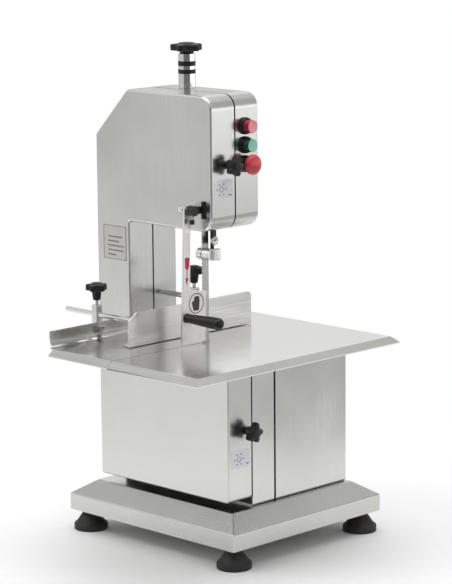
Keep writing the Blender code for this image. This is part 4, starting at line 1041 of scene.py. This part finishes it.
# ---------------------------------------------------------------- frame nodes that stay
KEPT = (
    (BASE_STEEL, ("base_floor_ring",)),
    (STAINLESS, ("slide_rail_left", "slide_rail_right", "table_bracket_left", "table_bracket_right")),
    (POLISHED, ("hinge_frame_lower", "hinge_frame_upper", "hinge_door_lower", "hinge_door_upper")),
    (CHROME, ("tension_screw", "tension_spring", "drive_shaft", "lower_wheel_nut", "upper_axle",
              "upper_wheel_bearing")),
    (BLACKENED_STEEL_AND_PAINTED_SHADE, ("lower_guide",)),
    (CAST_ALLOY, ("bearing_housing", "wheel_slide_block", "guide_holder")),
    (MOTOR_PAINT, ("motor",)),
)


def dress_kept_nodes():
    for material, names in KEPT:
        for name in names:
            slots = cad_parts[name].data.materials
            slots.clear()
            slots.append(material)


# ---------------------------------------------------------------- stage, light and camera


def build_stage():
    """A round pale floor that fades into the open background."""
    nodes = FLOOR.node_tree.nodes
    links = FLOOR.node_tree.links
    place = nodes.new("ShaderNodeTexCoord").outputs["Object"]
    reach = nodes.new("ShaderNodeVectorMath")
    reach.operation = "LENGTH"
    links.new(place, reach.inputs[0])
    fade = nodes.new("ShaderNodeMapRange")
    fade.interpolation_type = "SMOOTHSTEP"
    fade.inputs["From Min"].default_value = FLOOR_SOLID
    fade.inputs["From Max"].default_value = FLOOR_EDGE
    fade.inputs["To Min"].default_value = 1.0
    fade.inputs["To Max"].default_value = 0.0
    links.new(reach.outputs["Value"], fade.inputs["Value"])
    links.new(fade.outputs["Result"], nodes["Principled BSDF"].inputs["Alpha"])
    bm = bmesh.new()
    bmesh.ops.create_circle(bm, cap_ends=True, segments=96, radius=FLOOR_EDGE)
    mesh = bpy.data.meshes.new("floor")
    bm.to_mesh(mesh)
    bm.free()
    floor = linked("floor", mesh)
    mesh.materials.append(FLOOR)


def area_light(name, place, target, size, power):
    data = bpy.data.lights.new(name, "AREA")
    data.shape = "RECTANGLE"
    data.size = size[0]
    data.size_y = size[1]
    data.energy = power
    obj = linked(name, data)
    obj.location = place
    obj.rotation_euler = (Vector(target) - Vector(place)).to_track_quat("-Z", "Y").to_euler()


# Brightness of the studio by the sine of the height above the horizon, on each side of the object.
STUDIO = (
    # Front left.
    ((-0.7, -0.7), ((-0.27, 1.10), (-0.21, 0.98), (-0.165, 0.58), (-0.13, 0.52), (-0.10, 0.60),
                    (0.05, 0.70), (0.30, 0.90))),
    # Back right.
    ((0.7, 0.7), ((-0.27, 0.50), (-0.225, 0.46), (-0.19, 0.32), (-0.155, 0.38), (-0.138, 0.60),
                  (-0.122, 1.45), (-0.09, 1.60), (0.08, 1.40), (0.22, 0.50))),
    # Back left.
    ((-0.7, 0.7), ((-0.20, 0.50), (0.0, 0.30), (0.095, 0.30), (0.125, 0.55), (0.16, 0.95),
                   (0.24, 1.00), (0.32, 0.95))),
    # Front right.
    ((0.7, -0.7), ((-0.30, 0.55), (-0.10, 0.16), (0.0, 0.10), (0.20, 0.10), (0.33, 0.60))),
)
STUDIO_REACH = 0.35
ELSEWHERE = 0.62


def build_light():
    world = bpy.data.worlds.new("studio")
    bpy.context.scene.world = world
    world.use_nodes = True
    nodes = world.node_tree.nodes
    links = world.node_tree.links
    direction = nodes.new("ShaderNodeTexCoord").outputs["Generated"]
    parts = nodes.new("ShaderNodeSeparateXYZ")
    links.new(direction, parts.inputs["Vector"])
    height = nodes.new("ShaderNodeMapRange")
    height.inputs["From Min"].default_value = -STUDIO_REACH
    height.inputs["From Max"].default_value = STUDIO_REACH
    links.new(parts.outputs["Z"], height.inputs["Value"])
    total = None
    for side, stops in STUDIO:
        ramp = nodes.new("ShaderNodeValToRGB")
        elements = ramp.color_ramp.elements
        while len(elements) < len(stops):
            elements.new(0.5)
        for element, (level, bright) in zip(elements, stops):
            element.position = (level + STUDIO_REACH) / (2 * STUDIO_REACH)
            element.color = (bright, bright, bright, 1.0)
        links.new(height.outputs["Result"], ramp.inputs["Fac"])
        facing = nodes.new("ShaderNodeVectorMath")
        facing.operation = "DOT_PRODUCT"
        facing.inputs[1].default_value = (side[0], side[1], 0.0)
        links.new(direction, facing.inputs[0])
        weight = nodes.new("ShaderNodeMapRange")
        weight.interpolation_type = "SMOOTHSTEP"
        weight.inputs["From Min"].default_value = 0.60
        weight.inputs["From Max"].default_value = 0.82
        links.new(facing.outputs["Value"], weight.inputs["Value"])
        mix = nodes.new("ShaderNodeMix")
        mix.data_type = "RGBA"
        links.new(weight.outputs["Result"], mix.inputs["Factor"])
        if total is None:
            mix.inputs["A"].default_value = (ELSEWHERE, ELSEWHERE, ELSEWHERE, 1.0)
        else:
            links.new(total, mix.inputs["A"])
        links.new(ramp.outputs["Color"], mix.inputs["B"])
        total = mix.outputs["Result"]
    background = nodes["Background"]
    links.new(total, background.inputs["Color"])
    background.inputs["Strength"].default_value = 1.0
    open_white = nodes.new("ShaderNodeBackground")
    open_white.inputs["Color"].default_value = (1.0, 1.0, 1.0, 1.0)
    open_white.inputs["Strength"].default_value = 1.0
    path = nodes.new("ShaderNodeLightPath")
    mix = nodes.new("ShaderNodeMixShader")
    links.new(path.outputs["Is Camera Ray"], mix.inputs["Fac"])
    links.new(background.outputs["Background"], mix.inputs[1])
    links.new(open_white.outputs["Background"], mix.inputs[2])
    links.new(mix.outputs["Shader"], nodes["World Output"].inputs["Surface"])
    area_light("key", (-1.2, -2.2, 3.2), (0.0, 0.0, 0.4), (1.6, 1.2), 30.0)
    area_light("top", (0.3, 0.2, 3.4), (0.0, 0.0, 0.4), (2.4, 2.4), 55.0)


def build_camera():
    """Stands at the operator's front right and looks a little down."""
    camera_data = bpy.data.cameras.new("camera")
    camera_data.lens = 153.06
    camera_data.sensor_width = 36.0
    camera = linked("camera", camera_data)
    place = Vector((2.93722, -2.89603, 1.1982))
    forward = Vector((-0.694682, 0.696179, -0.180977)).normalized()
    right = forward.cross(Vector((0, 0, 1))).normalized()
    up = right.cross(forward)
    roll = math.radians(-0.49)
    turned_right = right * math.cos(roll) + up * math.sin(roll)
    turned_up = up * math.cos(roll) - right * math.sin(roll)
    camera.matrix_world = Matrix((
        (turned_right.x, turned_up.x, -forward.x, place.x),
        (turned_right.y, turned_up.y, -forward.y, place.y),
        (turned_right.z, turned_up.z, -forward.z, place.z),
        (0.0, 0.0, 0.0, 1.0)))
    bpy.context.scene.camera = camera
    bpy.context.scene.view_settings.view_transform = "Standard"


build_casing()
build_base()
build_drive()
build_knobs()
build_tension_post()
build_buttons()
build_guides()
build_table()
build_fence()
build_pusher()
build_labels()
dress_kept_nodes()
build_stage()
build_light()
build_camera()
